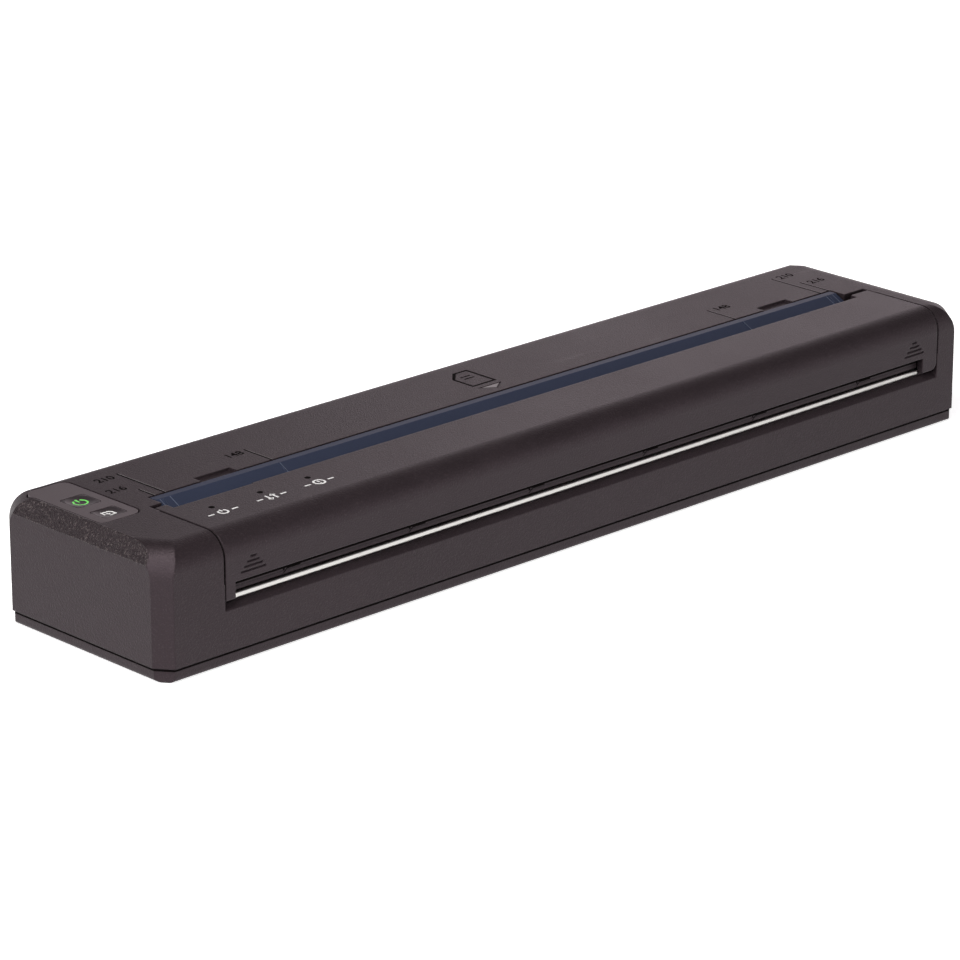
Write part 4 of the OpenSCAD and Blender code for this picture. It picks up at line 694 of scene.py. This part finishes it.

# Painted shade along the edges of the gaps beside the cover, over the case's front and top
sideSeamShade = {"left": -110.45, "right": 118.35, "wide": 0.2, "round": 5.5, "steps": 12, "low": 18.9,
            "rear": -6.7}
rimY, rimZ, rimR = cadBox[0][1] / mm, caseTop, sideSeamShade["round"]
path = [(rimY - proud, sideSeamShade["low"]), (rimY - proud, rimZ - rimR)]
path += arc(rimR + proud, 180, 90, sideSeamShade["steps"], rimY + rimR, rimZ - rimR)
path += [(sideSeamShade["rear"], rimZ + proud)]
verts, faces = [], []
for x0, x1 in ((sideSeamShade["left"] - sideSeamShade["wide"], sideSeamShade["left"]),
               (sideSeamShade["right"], sideSeamShade["right"] + sideSeamShade["wide"])):
    first = len(verts)
    verts += [Vector((x, y, z)) * mm for y, z in path for x in (x0, x1)]
    faces += [tuple(first + 2 * i + k for k in (0, 1, 3, 2)) for i in range(len(path) - 1)]
addPiece("coverSeamShade", meshOf("coverSeamShade", verts, faces), "darkInkAndShade", "base")

# Painted highlights on the edges of the width marks on the paper guide's slope
guideGlint = {"y": -0.5, "z": 29.9, "run": 3.8, "fall": 1.9, "wide": 0.2, "from": 0.1,
              "places": [-105.4, -102.6, -71.15, 77.65, 107.4, 109.6]}
slopeL = math.hypot(guideGlint["run"], guideGlint["fall"])
slopeC, slopeS = guideGlint["run"] / slopeL, guideGlint["fall"] / slopeL


def onSlope(x, down):
    return (x, guideGlint["y"] - slopeC * down - slopeS * proud,
            guideGlint["z"] - slopeS * down + slopeC * proud)


slopeMarks = [stroke([(x, guideGlint["from"]), (x, slopeL)], guideGlint["wide"])
              for x in guideGlint["places"]]
addPrint("guideGlint", slopeMarks, onSlope, "navyGlint", "base")
print("seam shades and guide marks")

# Apron that carries the liner's face down to the bar, and the painted shadow under the lip, on the liner
apron = {"face": 1.8, "thick": 0.5, "gap": 0.25, "lap": 0.1, "bend": 0.12, "endShare": 0.86,
         "lipShadowLow": 0.42, "lipShadowHigh": 1.26}
low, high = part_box("cover_liner")
faceY = cadBox[0][1] + apron["face"] * mm
z0, z1 = barTop + apron["gap"] * mm, low[2] + apron["lap"] * mm
bend = apron["bend"] * mm
apronEdge = [(faceY + apron["thick"] * mm, z1), (faceY, z1), (faceY, z0 + bend), (faceY + bend, z0),
             (faceY + apron["thick"] * mm, z0)]
apronMesh = drawnBar("linerApron", apronEdge, low[0], high[0], bend, apron["endShare"])
addPiece("linerApron", apronMesh, "inside", "cover")
lipShadowY = faceY - proud * mm
lipShadowLow, lipShadowHigh = z1 + apron["lipShadowLow"] * mm, z1 + apron["lipShadowHigh"] * mm
corners = [(low[0], lipShadowY, lipShadowLow), (high[0], lipShadowY, lipShadowLow), (high[0], lipShadowY, lipShadowHigh),
           (low[0], lipShadowY, lipShadowHigh)]
addPiece("lipShadow", meshOf("lipShadow", corners, [(0, 1, 2, 3)]), "darkInkAndShade", "cover")

# Tab outlines on the liner and its apron: dark strokes of painted shade at the tabs' edges
tabLines = {"count": 6, "shift": 0.4, "long": 5.0, "line": 0.22, "low": 16.3, "high": 17.3, "lean": 1.2}
tabs = []
for i in range(tabLines["count"]):
    x = (low[0] + (i + tabLines["shift"]) * (high[0] - low[0]) / tabLines["count"]) / mm
    tabs.append(stroke([(x, tabLines["low"]), (x + tabLines["lean"], tabLines["high"]),
                        (x + tabLines["long"], tabLines["high"])], tabLines["line"]))
tabY = faceY / mm - 2 * proud
addPrint("tabLines", tabs, lambda x, z: (x, tabY, z), "darkInkAndShade", "cover")


# Geometry tree that repeats one form on the points of a mesh; returns the plain mesh it gives
def repeated(name, points, makeForm, values, finish):
    tree = bpy.data.node_groups.new(name, "GeometryNodeTree")
    tree.interface.new_socket(name="Geometry", in_out="INPUT", socket_type="NodeSocketGeometry")
    for key in values:
        tree.interface.new_socket(name=key, in_out="INPUT", socket_type="NodeSocketFloat")
    tree.interface.new_socket(name="Geometry", in_out="OUTPUT", socket_type="NodeSocketGeometry")
    f = Finish(name, tree)
    given = tree.nodes.new("NodeGroupInput")
    sizes = {key: Val(f, given.outputs[key]) for key in values}
    form = makeForm(f, sizes)
    copies = f.node("InstanceOnPoints", None, {"Points": Val(f, given.outputs["Geometry"]), "Instance": form})
    solid = f.node("RealizeInstances", None, {"Geometry": copies.out()})
    done = f.node("SetMaterial", None, {"Geometry": solid.out(), "Material": finishes[finish]})
    tree.links.new(done.out().socket, tree.nodes.new("NodeGroupOutput").inputs["Geometry"])
    holder = bpy.data.objects.new(name, meshOf(name + "Points", points, []))
    scene.collection.objects.link(holder)
    modifier = holder.modifiers.new("repeat", "NODES")
    modifier.node_group = tree
    for item in tree.interface.items_tree:
        if item.name in values and item.in_out == "INPUT":
            modifier[item.identifier] = values[item.name]
    mesh = bpy.data.meshes.new_from_object(holder.evaluated_get(bpy.context.evaluated_depsgraph_get()))
    holder.modifiers.clear()
    bpy.data.objects.remove(holder)
    return mesh


# Head springs as wound wire
springWire = {"wire": 0.6, "turns": 5, "steps": 22, "sides": 8}


def springForm(f, sizes):
    coil = f.node("CurveSpiral", None, {"Resolution": springWire["steps"], "Rotations": sizes["Turns"],
                                        "Start Radius": sizes["Coil Radius"],
                                        "End Radius": sizes["Coil Radius"], "Height": sizes["Height"]})
    ring = f.node("CurvePrimitiveCircle", None, {"Resolution": springWire["sides"],
                                                 "Radius": sizes["Wire Radius"]})
    wire = {"Curve": coil.out(), "Profile Curve": ring.out(), "Fill Caps": True}
    return f.node("CurveToMesh", None, wire).out()


springs = solidsOf("head_springs")
wireR = springWire["wire"] * mm / 2
low, high = springs[0]
springSizes = {"Turns": springWire["turns"], "Coil Radius": (high[0] - low[0]) / 2 - wireR,
               "Height": high[2] - low[2] - 2 * wireR, "Wire Radius": wireR}
feet = [((a[0] + b[0]) / 2, (a[1] + b[1]) / 2, a[2] + wireR) for a, b in springs]
coils = repeated("springRow", feet, springForm, springSizes, "turned")
woundSprings = addPiece("woundSprings", coils, "turned", "base", True)
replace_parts(woundSprings, "head_springs")
print("springs: %d wound" % len(feet))


# Screws with a cross recess, in the place of the plain ones; per node the head's height, the shank's radius
# and the end that the head is on
crossScrews = {"recess": 0.62, "slot": 0.24, "deep": 0.55, "sides": 24,
               "case_screws": (1.4, 1.2, -1), "frame_screws": (0.9, 1.2, 1)}


def screwForm(f, sizes):
    head = f.node("MeshCylinder", None, {"Vertices": crossScrews["sides"], "Radius": sizes["Head Radius"],
                                         "Depth": sizes["Head Height"]})
    shank = f.node("MeshCylinder", None, {"Vertices": crossScrews["sides"], "Radius": sizes["Shank Radius"],
                                          "Depth": sizes["Shank Length"]})
    cross = []
    for turn in (0, 1):
        wide, thin = sizes["Cross Length"], sizes["Cross Width"]
        size = f.node("CombineXYZ", None, {"X": thin if turn else wide, "Y": wide if turn else thin,
                                           "Z": sizes["Cross Depth"]})
        arm = f.node("MeshCube", None, {"Size": size.out()})
        place = f.node("CombineXYZ", None, {"Z": sizes["Head Height"] * sizes["Side"] / 2})
        cross.append(f.node("SetPosition", None, {"Geometry": arm.out(), "Offset": place.out()}).out())
    cut = f.node("MeshBoolean", {"operation": "DIFFERENCE"}, {"Mesh 1": head.out()})
    for arm in cross:
        f.tree.links.new(arm.socket, cut.node.inputs["Mesh 2"])
    drop = (sizes["Head Height"] + sizes["Shank Length"]) * sizes["Side"] / -2
    under = f.node("CombineXYZ", None, {"Z": drop})
    rod = f.node("SetPosition", None, {"Geometry": shank.out(), "Offset": under.out()})
    both = f.node("JoinGeometry")
    for part in (cut.out(), rod.out()):
        f.tree.links.new(part.socket, both.node.inputs["Geometry"])
    return both.out()


for node in ("case_screws", "frame_screws"):
    headH, shankR, headSide = crossScrews[node]
    groups = {}
    for low, high in solidsOf(node):
        key = (round((high[2] - low[2]) / mm, 2), round((high[0] - low[0]) / mm, 2))
        end = high[2] - headH * mm / 2 if headSide > 0 else low[2] + headH * mm / 2
        groups.setdefault(key, []).append(((low[0] + high[0]) / 2, (low[1] + high[1]) / 2, end))
    whole = bmesh.new()
    for (length, width), places in sorted(groups.items()):
        screwSizes = {"Head Radius": width * mm / 2, "Head Height": headH * mm, "Shank Radius": shankR * mm,
                      "Shank Length": (length - headH) * mm, "Side": headSide,
                      "Cross Length": width * mm * crossScrews["recess"],
                      "Cross Width": width * mm * crossScrews["slot"],
                      "Cross Depth": headH * mm * crossScrews["deep"] * 2}
        whole.from_mesh(repeated(node + "Row", places, screwForm, screwSizes, "turned"))
    mesh = bpy.data.meshes.new(node + "Cross")
    whole.to_mesh(mesh)
    whole.free()
    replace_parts(addPiece(node + "Cross", mesh, "turned", "base"), node)
print("screws: cross recess")

# Glazed ridge and heater line of the thermal head, under the roller
heater = {"slope": 35, "gap": 0.08, "glaze": 0.8, "line": 0.07, "in": 1.5}
rollerLow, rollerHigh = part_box("platen_rubber")
rollerY, rollerZ = [(rollerLow[i] + rollerHigh[i]) / 2 for i in (1, 2)]
rollerR = (rollerHigh[2] - rollerLow[2]) / 2
low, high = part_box("head_ceramic")
tilt = math.radians(heater["slope"])


def onHead(along, out):
    across = -rollerR - heater["gap"] * mm + out * mm
    return (rollerY + along * mm * math.cos(tilt) - across * math.sin(tilt),
            rollerZ + along * mm * math.sin(tilt) + across * math.cos(tilt))


for name, half, out, finish in (("heaterGlaze", heater["glaze"], proud / 2, "glaze"),
                                ("heaterLine", heater["line"], proud, "darkInkAndShade")):
    x0, x1 = low[0] + heater["in"] * mm, high[0] - heater["in"] * mm
    verts = [(x, *onHead(along, out)) for x in (x0, x1) for along in (-half, half)]
    addPiece(name, meshOf(name, verts, [(0, 2, 3, 1)]), finish, "head")

# Bare rating label: a border and plain rules
labelLines = {"in": 1.2, "line": 0.22, "rules": 3}
low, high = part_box("rating_label")
halfX, halfY = [(high[i] - low[i]) / 2 / mm - labelLines["in"] for i in (0, 1)]
corners = [(-halfX, -halfY), (halfX, -halfY), (halfX, halfY), (-halfX, halfY)]
border = [stroke(corners, labelLines["line"], True)]
for i in range(labelLines["rules"]):
    y = halfY - (i + 1) * 2 * halfY / (labelLines["rules"] + 1)
    border.append(stroke([(-halfX, y), (halfX, y)], labelLines["line"]))
midX, midY, underZ = (low[0] + high[0]) / 2 / mm, (low[1] + high[1]) / 2 / mm, low[2] / mm - proud
addPrint("labelLines", border, lambda x, y: (midX + x, midY - y, underZ), "darkInkAndShade", "base")
print("head lines and label")

# Camera, as the photograph was taken
view = {"azimuth": -43.82, "elevation": 19.49, "distance": 1035, "right": 7.0, "up": 6.4, "lens": 168.1,
        "height": 15}
azimuth, elevation = math.radians(view["azimuth"]), math.radians(view["elevation"])
back = Vector((math.sin(azimuth) * math.cos(elevation), -math.cos(azimuth) * math.cos(elevation),
               math.sin(elevation)))
side = Vector((0, 0, 1)).cross(back).normalized()
rise = back.cross(side)
camera = bpy.data.objects.new("camera", bpy.data.cameras.new("camera"))
camera.data.lens = view["lens"]
camera.data.sensor_width = 36
camera.data.clip_start = 0.01
eye = Vector((0, 0, view["height"])) + back * view["distance"] - side * view["right"] - rise * view["up"]
camera.matrix_world = Matrix.Translation(eye * mm) @ Matrix((side, rise, back)).transposed().to_4x4()
scene.collection.objects.link(camera)
scene.camera = camera
scene.view_settings.view_transform = "Standard"

# Room: pale near the horizon and darker overhead, white where the camera sees it
room = {"low": 0.6, "high": 0.2, "glossLow": 0.85, "glossHigh": 0.05, "tone": (1, 0.91, 0.95), "seen": 1.15,
        "fade": 0.55, "reach": 3.0, "floor": 0.82, "lift": 0.8, "glossLift": 0.4}
world = bpy.data.worlds.new("room")
world.use_nodes = True
scene.world = world
f = Finish("room", world.node_tree)
lookUp = f.axes(f.node("TexCoord").out("Generated"))[2]
above = lookUp.smooth(0.0, room["fade"])
ambient = room["low"] + (room["high"] - room["low"]) * above
mirrored = room["glossLow"] + (room["glossHigh"] - room["glossLow"]) * above
rays = f.node("LightPath")
seen, glossy = rays.out("Is Camera Ray"), rays.out("Is Glossy Ray")
seen = (seen + rays.out("Is Transmission Ray")).clamp(0, 1)
strength = seen * room["seen"] + (1 - seen) * (glossy * mirrored + (1 - glossy) * ambient)
sky = f.node("Background", None, {"Color": room["tone"], "Strength": strength}).out()
f.node("OutputWorld", None, {"Surface": sky})

# White paper floor that glows a little for the camera and in reflections
f = Finish("floorPaper")
rays = f.node("LightPath")
white = (rays.out("Is Camera Ray") + rays.out("Is Transmission Ray")).clamp(0, 1)
paperGlow = white * room["lift"] + rays.out("Is Glossy Ray") * room["glossLift"]
paper = f.node("BsdfDiffuse", None, {"Color": (room["floor"],) * 3}).out()
paperLight = f.node("Emission", None, {"Color": (1, 1, 1), "Strength": paperGlow}).out()
f.node("OutputMaterial", None, {"Surface": f.node("AddShader", None, {0: paper, 1: paperLight}).out()})
floorMesh = bpy.data.meshes.new("floor")
reach = room["reach"]
corners = [(-reach, -reach, 0), (reach, -reach, 0), (reach, reach, 0), (-reach, reach, 0)]
floorMesh.from_pydata(corners, [], [(0, 1, 2, 3)])
floor = bpy.data.objects.new("floor", floorMesh)
floor.data.materials.append(f.mat)
scene.collection.objects.link(floor)

lamps = {
    "keyLeft": {"place": (-0.9, -0.35, 0.55), "size": 0.7, "power": 7, "color": (1, 1, 1)},
    "fillFront": {"place": (0.25, -1.3, 0.5), "size": 1.0, "power": 1.0, "color": (1, 1, 1)},
    "rimBack": {"place": (0.85, 0.6, 0.3), "size": 0.6, "power": 0.95, "color": (1, 0.86, 0.91)},
    "cornerTop": {"place": (-0.42, -0.15, 0.88), "size": 0.2, "power": 5.5, "color": (1, 1, 0.97)},
}
for name, lamp in lamps.items():
    light = bpy.data.lights.new(name, "AREA")
    light.energy = lamp["power"]
    light.color = lamp["color"]
    light.size = lamp["size"]
    holder = bpy.data.objects.new(name, light)
    holder.location = lamp["place"]
    holder.rotation_euler = (-Vector(lamp["place"])).to_track_quat("-Z", "Y").to_euler()
    scene.collection.objects.link(holder)
print("stage: camera, room, floor, %d lamps" % len(lamps))
